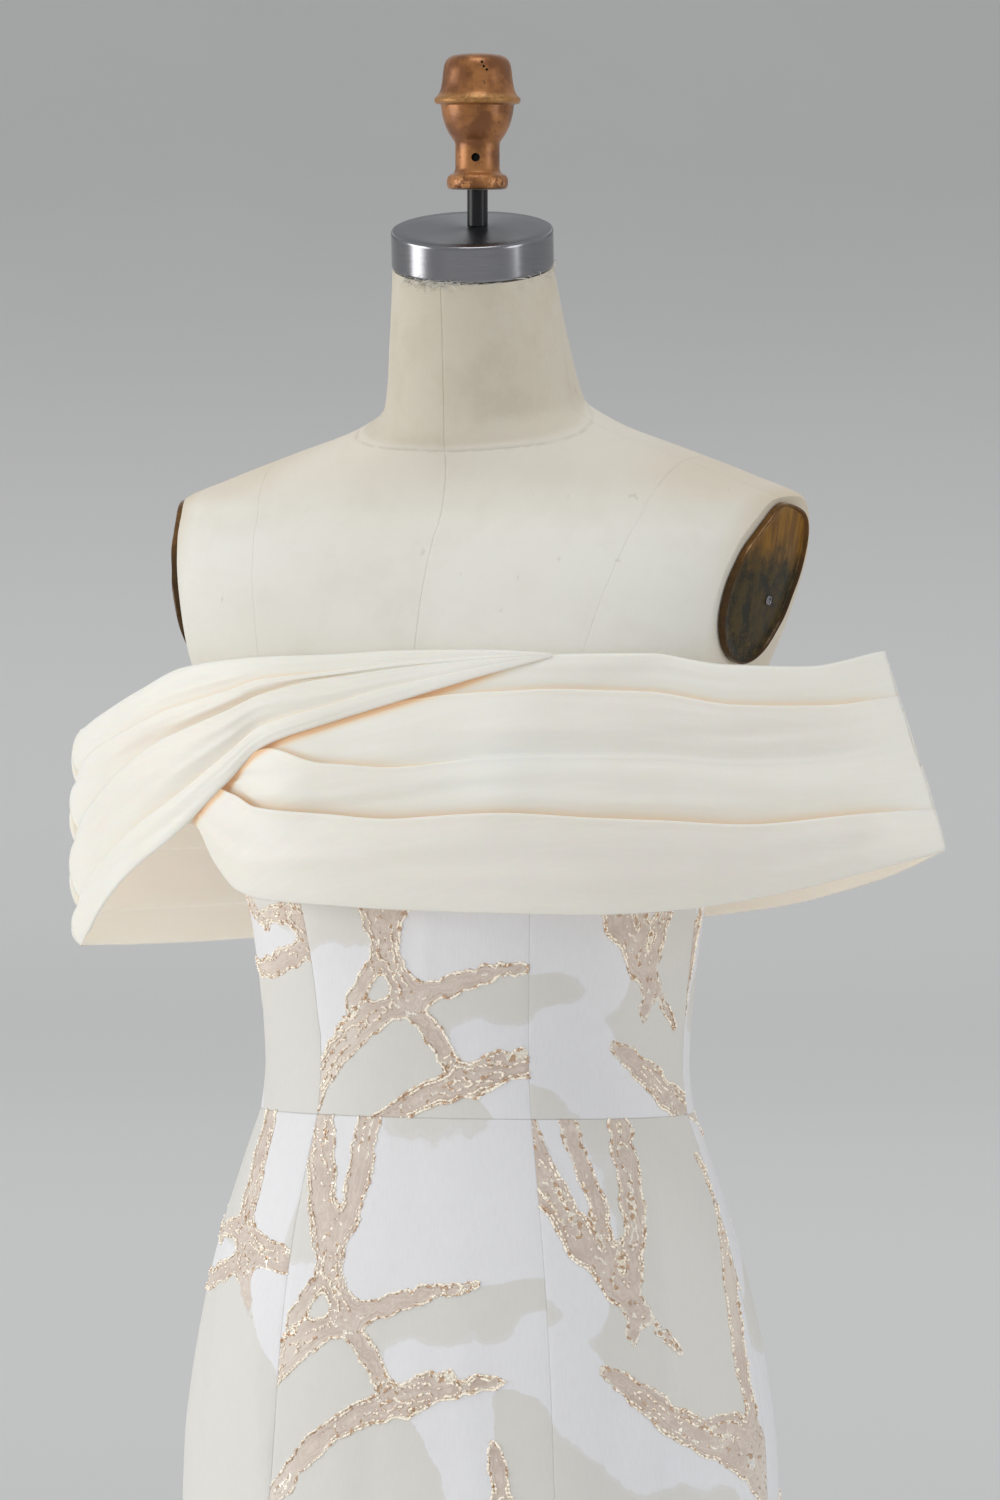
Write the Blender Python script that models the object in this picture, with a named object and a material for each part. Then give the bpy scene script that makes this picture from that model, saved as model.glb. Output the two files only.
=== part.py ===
"""Off-shoulder dress with a pleated drape, worn by a dressmaker's form on its stand.

Lengths are metres, angles are radians unless a name says degrees, and +Z is up. The form faces -Y, so
the wearer's left is at +X. The origin is on the floor, under the middle of the stand's foot.

A point of the figure or of the dress is given by its angle round the form, 0 at the centre front and
positive towards the wearer's left, its height, and its radius. "Depth" is how far forward a point is.
"""

import math
from bisect import bisect_right
from collections import namedtuple

import bmesh
import bpy
from mathutils import Matrix, Vector

WALL = 0.002                # thickness of every cloth wall
SEAM_GAP = 0.0003           # between two pieces that are sewn together or lie on each other
WAIST = 1.040               # height of the waist seam
HEM = 0.012                 # height of the hem, just clear of the floor
SKIRT_POWER = 2.2           # how square the skirt's sections are, where 2 is an ellipse
SIDE_SEAM = math.radians(92)
CENTRE_BACK = math.pi

# The form's horizontal sections, from its flat underside up to the top of its neck. "power" is 2 for an
# ellipse and more for a squarer section. From the shoulders up, each section's centre moves forward by
# "centre", and the section leans by "lean" degrees towards "turn" degrees from the centre front.
FigureRow = namedtuple("FigureRow", "height half_width front back power centre lean turn")
FIGURE = [
    FigureRow(0.742, 0.145, 0.082, 0.092, 2.2, 0.000, 0.0, 0.0),
    FigureRow(0.758, 0.161, 0.093, 0.105, 2.2, 0.000, 0.0, 0.0),
    FigureRow(0.806, 0.173, 0.099, 0.115, 2.2, 0.000, 0.0, 0.0),
    FigureRow(0.840, 0.174, 0.101, 0.118, 2.2, 0.000, 0.0, 0.0),
    FigureRow(0.880, 0.170, 0.102, 0.115, 2.2, 0.000, 0.0, 0.0),
    FigureRow(0.926, 0.161, 0.101, 0.107, 2.2, 0.000, 0.0, 0.0),
    FigureRow(0.962, 0.151, 0.098, 0.098, 2.2, 0.000, 0.0, 0.0),
    FigureRow(1.004, 0.139, 0.092, 0.087, 2.2, 0.000, 0.0, 0.0),
    FigureRow(1.040, 0.1304, 0.0876, 0.0806, 2.2, 0.000, 0.0, 0.0),
    FigureRow(1.070, 0.1273, 0.0863, 0.0793, 2.2, 0.000, 0.0, 0.0),
    FigureRow(1.110, 0.1296, 0.0906, 0.0836, 2.2, 0.000, 0.0, 0.0),
    FigureRow(1.150, 0.134, 0.097, 0.090, 2.2, 0.000, 0.0, 0.0),
    FigureRow(1.226, 0.146, 0.105, 0.101, 2.2, 0.000, 0.0, 0.0),
    FigureRow(1.270, 0.155, 0.103, 0.106, 2.4, 0.000, 0.0, 0.0),
    FigureRow(1.310, 0.177, 0.096, 0.108, 2.8, 0.000, 0.0, 0.0),
    FigureRow(1.350, 0.193, 0.088, 0.103, 2.8, -0.004, 0.0, 0.0),
    FigureRow(1.385, 0.202, 0.080, 0.090, 2.6, -0.013, 2.0, 0.0),
    FigureRow(1.405, 0.199, 0.072, 0.080, 2.4, -0.019, 4.0, 0.0),
    FigureRow(1.419, 0.168, 0.068, 0.075, 2.2, -0.019, 5.0, 0.0),
    FigureRow(1.434, 0.126, 0.065, 0.070, 2.1, -0.017, 6.0, 0.0),
    FigureRow(1.450, 0.080, 0.0635, 0.0660, 2.0, -0.0135, 7.0, 0.0),
    FigureRow(1.463, 0.0600, 0.0605, 0.0620, 2.0, -0.0105, 8.0, 4.0),
    FigureRow(1.500, 0.0535, 0.0545, 0.0545, 2.0, -0.0020, 11.0, 12.0),
    FigureRow(1.546, 0.0480, 0.0480, 0.0480, 2.0, 0.0070, 14.0, 18.0),
]

# The two cups, each a smooth swelling on the figure.
CUP_DEPTH = 0.021
CUP_ANGLE = math.radians(35)
CUP_SPREAD = math.radians(24)
CUP_HEIGHT = 1.222
CUP_ABOVE = 0.060
CUP_BELOW = 0.046

# From the form to the outside of the bodice. The dress is held up where it fits closest, at the waist,
# with the zip's tape between the two at the centre back.
EaseRow = namedtuple("EaseRow", "height ease")
BODICE_EASE = [
    EaseRow(1.040, 0.0041),
    EaseRow(1.130, 0.0045),
    EaseRow(1.300, 0.0045),
]

# The outside of the skirt, from the hem up to the waist seam. "flute" is the share of the radius by
# which the hem's soft flutes rise and fall.
SkirtRow = namedtuple("SkirtRow", "height half_width front back flute")
SKIRT = [
    SkirtRow(HEM, 0.372, 0.330, 0.392, 0.045),
    SkirtRow(0.080, 0.340, 0.300, 0.352, 0.042),
    SkirtRow(0.180, 0.286, 0.248, 0.284, 0.034),
    SkirtRow(0.290, 0.234, 0.200, 0.222, 0.020),
    SkirtRow(0.400, 0.194, 0.163, 0.177, 0.008),
    SkirtRow(0.500, 0.176, 0.141, 0.153, 0.002),
    SkirtRow(0.620, 0.174, 0.127, 0.139, 0.000),
    SkirtRow(0.730, 0.181, 0.117, 0.133, 0.000),
    SkirtRow(0.806, 0.1855, 0.111, 0.130, 0.000),
    SkirtRow(0.836, 0.1845, 0.109, 0.129, 0.000),
    SkirtRow(0.878, 0.1795, 0.108, 0.125, 0.000),
    SkirtRow(0.926, 0.1705, 0.106, 0.116, 0.000),
    SkirtRow(0.962, 0.1612, 0.103, 0.106, 0.000),
    SkirtRow(1.004, 0.1475, 0.0975, 0.094, 0.000),
    SkirtRow(WAIST, 0.1345, 0.0917, 0.0847, 0.000),
]
FLUTES = 11                 # soft flutes round the hem

# Where the princess seam runs, as an angle from the centre front.
SeamRow = namedtuple("SeamRow", "height degrees")
PRINCESS_SEAM = [
    SeamRow(HEM, 45.0),
    SeamRow(0.400, 44.0),
    SeamRow(0.806, 43.0),
    SeamRow(WAIST, 40.5),
    SeamRow(1.150, 38.5),
    SeamRow(1.222, 35.0),
    SeamRow(1.300, 38.0),
]

# The bodice's top edge, hidden under the drape, by the angle from the centre front.
TopRow = namedtuple("TopRow", "degrees height")
BODICE_TOP = [
    TopRow(0.0, 1.272),
    TopRow(35.0, 1.290),
    TopRow(70.0, 1.274),
    TopRow(92.0, 1.264),
    TopRow(140.0, 1.258),
    TopRow(180.0, 1.262),
]
BODICE_TOP_HIGHEST = 1.290

# The drape round the upper arms. "across" runs from -1 at the wearer's right arm loop to 1 at the left.
# The loops are lens-shaped in plan, with the front and the back sewn together at their tips.
LoopRow = namedtuple("LoopRow", "height right left front back")
LOOP = [
    LoopRow(1.130, 0.2620, 0.3090, 0.1240, 0.1000),
    LoopRow(1.196, 0.2620, 0.2995, 0.1245, 0.1060),
    LoopRow(1.230, 0.2620, 0.2895, 0.1230, 0.1090),
    LoopRow(1.270, 0.2620, 0.2755, 0.1150, 0.1110),
    LoopRow(1.315, 0.2620, 0.2605, 0.1010, 0.1120),
]
LOOP_POWER = 2.3            # shape of the lens in plan
TURN_POWER = 2.5            # how late the cloth's outward direction turns towards the tip
REST_ROUNDING = 0.002       # rounds the line where the drape comes to rest on the bodice

# The wrap over the wearer's right front. Its tucks and its top and bottom edges run from the arm loop up
# to the neckline. "lift" is how far it stands off to clear the band below.
WrapRow = namedtuple("WrapRow", "across top bottom lift tuck_1 rise_1 tuck_2 rise_2 tuck_3 rise_3")
WRAP = [
    WrapRow(-1.000, 1.2650, 1.1340, 0.0000, 0.225, 0.0035, 0.490, 0.0035, 0.800, 0.0020),
    WrapRow(-0.870, 1.2770, 1.1620, 0.0020, 0.215, 0.0060, 0.490, 0.0060, 0.800, 0.0020),
    WrapRow(-0.730, 1.2908, 1.1850, 0.0050, 0.240, 0.0065, 0.455, 0.0070, 0.800, 0.0025),
    WrapRow(-0.587, 1.3052, 1.2065, 0.0085, 0.255, 0.0060, 0.435, 0.0075, 0.800, 0.0030),
    WrapRow(-0.436, 1.3105, 1.2380, 0.0100, 0.260, 0.0050, 0.440, 0.0070, 0.790, 0.0030),
    WrapRow(-0.346, 1.3125, 1.2590, 0.0100, 0.250, 0.0040, 0.430, 0.0055, 0.780, 0.0030),
    WrapRow(-0.187, 1.3142, 1.2740, 0.0095, 0.240, 0.0020, 0.340, 0.0035, 0.760, 0.0025),
    WrapRow(0.000, 1.3148, 1.2880, 0.0090, 0.240, 0.0008, 0.340, 0.0015, 0.700, 0.0020),
    WrapRow(0.245, 1.3132, 1.3045, 0.0080, 0.240, 0.0002, 0.400, 0.0003, 0.700, 0.0005),
    WrapRow(0.390, 1.3120, 1.3075, 0.0065, 0.240, 0.0001, 0.400, 0.0001, 0.700, 0.0001),
]

# The pleated band across the front, from its gathered end under the wrap to the wearer's left arm loop.
BandRow = namedtuple("BandRow", "across top bottom tuck_1 rise_1 tuck_2 rise_2 tuck_3 rise_3")
BAND = [
    BandRow(-0.600, 1.2450, 1.2150, 0.060, 0.0010, 0.200, 0.0020, 0.400, 0.0030),
    BandRow(-0.545, 1.2500, 1.2125, 0.060, 0.0010, 0.200, 0.0025, 0.380, 0.0040),
    BandRow(-0.480, 1.2590, 1.1900, 0.060, 0.0010, 0.190, 0.0035, 0.350, 0.0045),
    BandRow(-0.416, 1.2670, 1.1750, 0.060, 0.0010, 0.180, 0.0040, 0.400, 0.0050),
    BandRow(-0.345, 1.2750, 1.1700, 0.060, 0.0010, 0.175, 0.0045, 0.500, 0.0060),
    BandRow(-0.170, 1.2900, 1.1675, 0.070, 0.0010, 0.335, 0.0060, 0.580, 0.0070),
    BandRow(0.020, 1.3000, 1.1655, 0.085, 0.0020, 0.380, 0.0050, 0.620, 0.0075),
    BandRow(0.210, 1.3080, 1.1645, 0.125, 0.0035, 0.385, 0.0020, 0.620, 0.0080),
    BandRow(0.380, 1.3118, 1.1640, 0.140, 0.0045, 0.390, 0.0004, 0.640, 0.0080),
    BandRow(0.540, 1.3145, 1.1665, 0.155, 0.0050, 0.400, 0.0002, 0.665, 0.0080),
    BandRow(0.700, 1.3092, 1.1745, 0.180, 0.0050, 0.420, 0.0002, 0.705, 0.0075),
    BandRow(0.850, 1.3075, 1.1845, 0.195, 0.0050, 0.440, 0.0002, 0.730, 0.0070),
    BandRow(1.000, 1.3148, 1.1960, 0.227, 0.0035, 0.450, 0.0001, 0.800, 0.0035),
]

# The band across the back, which closes on the zip at the centre.
BackRow = namedtuple("BackRow", "across top bottom tuck_1 rise_1 tuck_2 rise_2 tuck_3 rise_3")
BACK = [
    BackRow(-1.000, 1.2650, 1.1340, 0.300, 0.0035, 0.580, 0.0035, 0.860, 0.0030),
    BackRow(-0.800, 1.2670, 1.1360, 0.300, 0.0055, 0.580, 0.0060, 0.850, 0.0050),
    BackRow(-0.500, 1.2760, 1.1415, 0.280, 0.0055, 0.560, 0.0060, 0.850, 0.0050),
    BackRow(-0.150, 1.2840, 1.1450, 0.270, 0.0030, 0.540, 0.0035, 0.840, 0.0030),
    BackRow(0.000, 1.2860, 1.1465, 0.270, 0.0003, 0.540, 0.0003, 0.840, 0.0003),
    BackRow(0.150, 1.2880, 1.1480, 0.270, 0.0030, 0.540, 0.0035, 0.840, 0.0030),
    BackRow(0.500, 1.2980, 1.1570, 0.280, 0.0055, 0.560, 0.0060, 0.850, 0.0050),
    BackRow(0.800, 1.3060, 1.1780, 0.300, 0.0055, 0.580, 0.0060, 0.860, 0.0050),
    BackRow(1.000, 1.3148, 1.1960, 0.300, 0.0035, 0.580, 0.0035, 0.860, 0.0030),
]
TUCK_COLUMNS = (("tuck_1", "rise_1"), ("tuck_2", "rise_2"), ("tuck_3", "rise_3"))
LIP = 0.0026                # half the height over which a tuck's edge steps outwards

# The armhole's flat cut through the shoulder, by distance from the middle and height, and the plate that
# covers it. The cut is turned a little to the front.
ARMHOLE_LOW = (0.1665, 1.270)
ARMHOLE_HIGH = (0.1960, 1.430)
ARMHOLE_TURN = math.radians(8)
PLATE_GAP = 0.0004
PLATE_THICKNESS = 0.0045
CUTTER_REACH = 0.150

# Steel cap on the neck, black rod and turned finial.
CAP_RADIUS = 0.0486
CAP_HEIGHT = 0.0225
CAP_BEVEL = 0.0010
ROD_RADIUS = 0.0062
FINIAL_FOOT = 1.5920
PIN_HOLE_RADIUS = 0.0026
PIN_HOLE_DEPTH = 0.0050
PIN_HOLE_HEIGHT = 0.0210
PIN_HOLE_AZIMUTH = math.radians(18)

# The finial's profile, from its foot up.
TurnedRow = namedtuple("TurnedRow", "radius height")
FINIAL = [
    TurnedRow(0.0000, 0.0000),
    TurnedRow(0.0160, 0.0000),
    TurnedRow(0.0181, 0.0021),
    TurnedRow(0.0184, 0.0057),
    TurnedRow(0.0172, 0.0088),
    TurnedRow(0.0140, 0.0107),
    TurnedRow(0.0133, 0.0124),
    TurnedRow(0.0133, 0.0267),
    TurnedRow(0.0140, 0.0288),
    TurnedRow(0.0172, 0.0336),
    TurnedRow(0.0203, 0.0411),
    TurnedRow(0.0217, 0.0478),
    TurnedRow(0.0223, 0.0510),
    TurnedRow(0.0254, 0.0520),
    TurnedRow(0.0259, 0.0541),
    TurnedRow(0.0226, 0.0583),
    TurnedRow(0.0214, 0.0630),
    TurnedRow(0.0205, 0.0711),
    TurnedRow(0.0193, 0.0764),
    TurnedRow(0.0160, 0.0798),
    TurnedRow(0.0080, 0.0812),
    TurnedRow(0.0000, 0.0814),
]

# The stand under the skirt: a round iron foot and a pole.
FOOT_RADIUS = 0.210
POLE_RADIUS = 0.016
FOOT = [
    TurnedRow(0.0000, 0.0000),
    TurnedRow(FOOT_RADIUS - 0.003, 0.0000),
    TurnedRow(FOOT_RADIUS, 0.0030),
    TurnedRow(FOOT_RADIUS, 0.0090),
    TurnedRow(FOOT_RADIUS - 0.006, 0.0130),
    TurnedRow(0.0600, 0.0240),
    TurnedRow(0.0340, 0.0320),
    TurnedRow(0.0300, 0.0620),
    TurnedRow(0.0270, 0.0650),
    TurnedRow(0.0000, 0.0650),
]

# The concealed zip at the centre back.
ZIP_LOW = 0.870
ZIP_HIGH = 1.2862
ZIP_TAPE_HALF_WIDTH = 0.0110
ZIP_TAPE_THICKNESS = 0.0010
SLIDER_WIDTH = 0.0070
SLIDER_HEIGHT = 0.0095
SLIDER_INSIDE = 0.1075      # how far behind the axis the slider starts
SLIDER_OUTSIDE = 0.1158     # and where its back plate ends
EAR_THICKNESS = 0.0012
EAR_LENGTH = 0.0036
TAB_WIDTH = 0.0036
TAB_THICKNESS = 0.0014
TAB_LENGTH = 0.0230
TAB_HINGE = (0.0, 0.1178, 1.2920)

# Number of mesh steps.
RING_STEPS = 36
TURNED_STEPS = 24
FOOT_STEPS = 36
BODICE_ROWS = 8
FRONT_COLUMNS = 12
SIDE_COLUMNS = 8
REAR_COLUMNS = 12
DRAPE_LAYER_ROWS = 2
WRAP_COLUMNS = 22
BAND_COLUMNS = 30
BACK_COLUMNS = 16


def clear_scene():
    """Removes whatever the scene holds."""
    for obj in list(bpy.data.objects):
        bpy.data.objects.remove(obj, do_unlink=True)


def material(name, colour, roughness, metallic=0.0):
    """Makes a Principled BSDF material of one colour."""
    made = bpy.data.materials.new(name)
    made.use_nodes = True
    shader = made.node_tree.nodes["Principled BSDF"]
    shader.inputs["Base Color"].default_value = (*colour, 1.0)
    shader.inputs["Roughness"].default_value = roughness
    shader.inputs["Metallic"].default_value = metallic
    return made


def along(rows, key, column, at):
    """Reads a table's column at any place along its key, on a smooth curve that never overshoots."""
    places = [getattr(row, key) for row in rows]
    values = [getattr(row, column) for row in rows]
    at = min(max(at, places[0]), places[-1])
    left = min(max(bisect_right(places, at) - 1, 0), len(places) - 2)
    slopes = [
        (values[k + 1] - values[k]) / (places[k + 1] - places[k]) for k in range(len(places) - 1)
    ]

    def tangent(k):
        if k == 0:
            return slopes[0]
        if k == len(slopes):
            return slopes[-1]
        before, after = slopes[k - 1], slopes[k]
        return 0.0 if before * after <= 0 else 2 * before * after / (before + after)

    width = places[left + 1] - places[left]
    t = (at - places[left]) / width
    return (
        (1 + 2 * t) * (1 - t) ** 2 * values[left]
        + t * (1 - t) ** 2 * width * tangent(left)
        + t * t * (3 - 2 * t) * values[left + 1]
        + t * t * (t - 1) * width * tangent(left + 1)
    )


def spread(low, high, steps):
    """Evenly spaced values from low to high, both included."""
    return [low + (high - low) * k / steps for k in range(steps + 1)]


def oval_radius(angle, half_width, front, back, power):
    """The radius, at an angle, of a section that has one depth in front and another behind."""
    depth = front if math.cos(angle) > 0 else back
    sum_of_powers = abs(math.cos(angle) / depth) ** power + abs(math.sin(angle) / half_width) ** power
    return sum_of_powers ** (-1 / power)


def cup(angle, height):
    """How far a cup swells out of the figure."""
    sideways = (abs(angle) - CUP_ANGLE) / CUP_SPREAD
    rise = height - CUP_HEIGHT
    upwards = rise / (CUP_ABOVE if rise > 0 else CUP_BELOW)
    return CUP_DEPTH * math.exp(-sideways**2 - upwards**2)


def figure_radius(angle, height):
    """The form's radius at an angle and a height."""
    half_width, front, back, power = (
        along(FIGURE, "height", column, height) for column in ("half_width", "front", "back", "power")
    )
    return oval_radius(angle, half_width, front, back, power) + cup(angle, height)


def dress_radius(angle, height):
    """The radius of the outside of the bodice or the skirt."""
    if height >= WAIST:
        return figure_radius(angle, height) + along(BODICE_EASE, "height", "ease", height)
    half_width, front, back, flute = (
        along(SKIRT, "height", column, height) for column in ("half_width", "front", "back", "flute")
    )
    oval = oval_radius(angle, half_width, front, back, SKIRT_POWER)
    return oval * (1 + flute * math.cos(FLUTES * angle))


def polar(angle, radius, height):
    """The point at an angle, a radius and a height."""
    return Vector((radius * math.sin(angle), -radius * math.cos(angle), height))


def new_object(name, mesh, finish, smooth_degrees=40):
    """Puts a mesh into the scene under a name, with a material, shaded smooth up to an angle."""
    mesh.materials.append(finish)
    mesh.shade_smooth()
    mesh.set_sharp_from_angle(angle=math.radians(smooth_degrees))
    obj = bpy.data.objects.new(name, mesh)
    bpy.context.scene.collection.objects.link(obj)
    return obj


def mesh_of(name, points, faces):
    """A mesh of these points and faces, with its faces turned outwards."""
    mesh = bpy.data.meshes.new(name)
    mesh.from_pydata([tuple(p) for p in points], [], faces)
    work = bmesh.new()
    work.from_mesh(mesh)
    bmesh.ops.recalc_face_normals(work, faces=work.faces)
    work.to_mesh(mesh)
    work.free()
    return mesh


def wall(name, outer, inner, finish):
    """A closed wall of cloth between two grids of points of the same size."""
    rows, columns = len(outer), len(outer[0])
    points = [p for row in outer for p in row] + [p for row in inner for p in row]
    inside = rows * columns

    def quads(offset):
        for row in range(rows - 1):
            for column in range(columns - 1):
                a = offset + row * columns + column
                yield (a, a + 1, a + 1 + columns, a + columns)

    rim = [column for column in range(columns)]
    rim += [row * columns + columns - 1 for row in range(1, rows)]
    rim += [(rows - 1) * columns + column for column in range(columns - 2, -1, -1)]
    rim += [row * columns for row in range(rows - 2, 0, -1)]
    faces = list(quads(0)) + list(quads(inside))
    for a, b in zip(rim, rim[1:] + rim[:1]):
        faces.append((a, b, b + inside, a + inside))
    return new_object(name, mesh_of(name, points, faces), finish)


def loft(name, rings, finish):
    """A closed solid through rings of the same number of points, with flat ends."""
    count = len(rings[0])
    points = [p for ring in rings for p in ring]
    faces = [tuple(range(count)), tuple((len(rings) - 1) * count + k for k in range(count))]
    for level in range(len(rings) - 1):
        for k in range(count):
            a, b = level * count + k, level * count + (k + 1) % count
            faces.append((a, b, b + count, a + count))
    return new_object(name, mesh_of(name, points, faces), finish)


def turned(name, profile, steps, finish):
    """A solid turned round Z from rows of radius and height, with its first and last rows on the axis."""
    points = [Vector((0, 0, profile[0].height)), Vector((0, 0, profile[-1].height))]
    faces = []
    rings = []
    for row in profile[1:-1]:
        rings.append(len(points))
        points += [polar(2 * math.pi * k / steps, row.radius, row.height) for k in range(steps)]
    for k in range(steps):
        after = (k + 1) % steps
        faces.append((0, rings[0] + k, rings[0] + after))
        faces.append((1, rings[-1] + k, rings[-1] + after))
        for low, high in zip(rings, rings[1:]):
            faces.append((low + k, low + after, high + after, high + k))
    return new_object(name, mesh_of(name, points, faces), finish)


def prism(name, outline, start, end, finish):
    """A solid with an outline of (y, z) points, from x = start to x = end."""
    count = len(outline)
    points = [Vector((x, y, z)) for x in (start, end) for y, z in outline]
    faces = [tuple(range(count)), tuple(range(count, 2 * count))]
    faces += [(k, (k + 1) % count, (k + 1) % count + count, k + count) for k in range(count)]
    return new_object(name, mesh_of(name, points, faces), finish)


# The form

def figure_ring(height):
    """The form's section at a height, as points."""
    centre, lean, turn = (along(FIGURE, "height", column, height) for column in ("centre", "lean", "turn"))
    slope = math.tan(math.radians(lean))
    turn = math.radians(turn)
    ring = []
    for k in range(RING_STEPS):
        angle = 2 * math.pi * (k + 0.5) / RING_STEPS - math.pi
        radius = figure_radius(angle, height)
        lowered = slope * radius * math.cos(angle - turn)
        ring.append(polar(angle, radius, height - lowered) + Vector((0, -centre, 0)))
    return ring


def figure_heights():
    """Where the form's sections are taken: closer together where its outline turns quickly."""
    heights = [FIGURE[0].height, 0.748, 0.758, 0.780]
    heights += spread(0.806, 0.986, 5)
    heights += [1.010, 1.025, 1.040, 1.055, 1.072, 1.090]
    heights += spread(1.110, 1.310, 8)
    heights += [1.330, 1.350, 1.368, 1.385, 1.395, 1.405, 1.412, 1.419, 1.4265, 1.434, 1.442, 1.450]
    heights += [1.4565, 1.463, 1.480, 1.500, 1.523]
    heights.append(FIGURE[-1].height)
    return heights


def armhole_block(name, side, near, far, finish):
    """A helper block beside the shoulder. Its faces lie along the armhole's slanting plane."""
    points = []
    for depth in (-CUTTER_REACH, CUTTER_REACH):
        back = depth * math.tan(ARMHOLE_TURN)
        for (x, height), out in zip(
            (ARMHOLE_LOW, ARMHOLE_LOW, ARMHOLE_HIGH, ARMHOLE_HIGH), (near, far, far, near)
        ):
            points.append(Vector((side * (x + out + back), depth, height)))
    faces = [(0, 1, 2, 3), (4, 5, 6, 7), (0, 1, 5, 4), (1, 2, 6, 5), (2, 3, 7, 6), (3, 0, 4, 7)]
    block = new_object(name, mesh_of(name, points, faces), finish)
    block.hide_render = True
    block.display_type = "WIRE"
    return block


def add_boolean(obj, other, operation):
    """Cuts or joins one object by another, with the exact solver."""
    modifier = obj.modifiers.new(operation.title(), "BOOLEAN")
    modifier.operation = operation
    modifier.object = other
    modifier.solver = "EXACT"


def make_torso(linen, bronze):
    """The linen-covered torso and neck, cut flat at the armholes, and the two arm plates."""
    torso = loft("form_torso", [figure_ring(height) for height in figure_heights()], linen)
    uncut = torso.data
    torso.data = uncut.copy()
    for side, name in ((-1, "right"), (1, "left")):
        cutter = armhole_block(f"armhole_{name}", side, 0.0, CUTTER_REACH, linen)
        add_boolean(torso, cutter, "DIFFERENCE")
        slab = armhole_block(f"slab_{name}", side, PLATE_GAP, PLATE_GAP + PLATE_THICKNESS, linen)
        plate = bpy.data.objects.new(f"form_arm_plate_{name}", uncut.copy())
        plate.data.materials.clear()
        plate.data.materials.append(bronze)
        bpy.context.scene.collection.objects.link(plate)
        add_boolean(plate, slab, "INTERSECT")


def make_neck_fittings(steel, black, copper):
    """The steel cap on the neck, the upright rod behind its middle and the finial on the rod."""
    top = FIGURE[-1]
    tilt, turn = math.radians(top.lean), math.radians(top.turn)
    cap = turned(
        "form_neck_cap",
        [
            TurnedRow(0.0, 0.0),
            TurnedRow(CAP_RADIUS - CAP_BEVEL, 0.0),
            TurnedRow(CAP_RADIUS, CAP_BEVEL),
            TurnedRow(CAP_RADIUS, CAP_HEIGHT - CAP_BEVEL),
            TurnedRow(CAP_RADIUS - CAP_BEVEL, CAP_HEIGHT),
            TurnedRow(0.0, CAP_HEIGHT),
        ],
        2 * TURNED_STEPS,
        steel,
    )
    lift = Vector((math.sin(turn) * math.sin(tilt), -math.cos(turn) * math.sin(tilt), math.cos(tilt)))
    foot = Vector((0, -top.centre, top.height)) + SEAM_GAP * lift
    cap.location = foot
    cap.rotation_euler = (Matrix.Rotation(turn, 3, "Z") @ Matrix.Rotation(tilt, 3, "X")).to_euler()

    crown = foot + CAP_HEIGHT * lift
    low_ring, high_ring = [], []
    for k in range(TURNED_STEPS):
        p = polar(2 * math.pi * k / TURNED_STEPS, ROD_RADIUS, 0)
        on_cap = crown.z - ((p.x - crown.x) * lift.x + (p.y - crown.y) * lift.y) / lift.z
        low_ring.append(Vector((p.x, p.y, on_cap + SEAM_GAP)))
        high_ring.append(Vector((p.x, p.y, FINIAL_FOOT - SEAM_GAP)))
    loft("form_rod", [low_ring, high_ring], black)

    finial = turned("form_finial", FINIAL, TURNED_STEPS, copper)
    finial.location = (0, 0, FINIAL_FOOT)
    add_boolean(finial, pin_hole_cutter(copper), "DIFFERENCE")


def pin_hole_cutter(finish):
    """The drill for the finial's blind pin hole, level and pointing at the axis."""
    neck = 0.0133
    near, far = neck - PIN_HOLE_DEPTH, neck + PIN_HOLE_DEPTH
    profile = [
        TurnedRow(0.0, near),
        TurnedRow(PIN_HOLE_RADIUS, near),
        TurnedRow(PIN_HOLE_RADIUS, far),
        TurnedRow(0.0, far),
    ]
    drill = turned("pin_hole", profile, TURNED_STEPS // 2, finish)
    drill.location = (0, 0, FINIAL_FOOT + PIN_HOLE_HEIGHT)
    drill.rotation_euler = (
        Matrix.Rotation(PIN_HOLE_AZIMUTH, 3, "Z") @ Matrix.Rotation(math.pi / 2, 3, "X")
    ).to_euler()
    drill.hide_render = True
    drill.display_type = "WIRE"
    return drill


def make_stand(iron, steel):
    """The round foot on the floor and the pole up to the form's underside."""
    turned("stand_foot", FOOT, FOOT_STEPS, iron)
    pole = [
        TurnedRow(0.0, FOOT[-1].height + SEAM_GAP),
        TurnedRow(POLE_RADIUS, FOOT[-1].height + SEAM_GAP),
        TurnedRow(POLE_RADIUS, FIGURE[0].height - SEAM_GAP),
        TurnedRow(0.0, FIGURE[0].height - SEAM_GAP),
    ]
    turned("stand_pole", pole, TURNED_STEPS, steel)


# The dress

def princess_seam(height):
    return math.radians(along(PRINCESS_SEAM, "height", "degrees", height))


def bodice_top(angle):
    return along(BODICE_TOP, "degrees", "height", abs(math.degrees(angle)))


def panel(name, start, end, heights, top, columns, finish):
    """A panel between two seams, given as functions of height.

    Its rows are at these heights, drawn together or apart so that the last one follows the top edge.
    """
    low, high = heights[0], heights[-1]
    outer, inner = [], []
    for nominal in heights:
        outer_row, inner_row = [], []
        for share in spread(0.0, 1.0, columns):
            angle = start(nominal) + (end(nominal) - start(nominal)) * share
            height = low + (nominal - low) * (top(angle) - low) / (high - low)
            radius = dress_radius(angle, height)
            if share in (0.0, 1.0):
                inset = 0.5 * SEAM_GAP / radius
                angle += inset if share == 0.0 else -inset
            outer_row.append(polar(angle, radius, height))
            inner_row.append(polar(angle, radius - WALL, height))
        outer.append(outer_row)
        inner.append(inner_row)
    return wall(name, outer, inner, finish)


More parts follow.
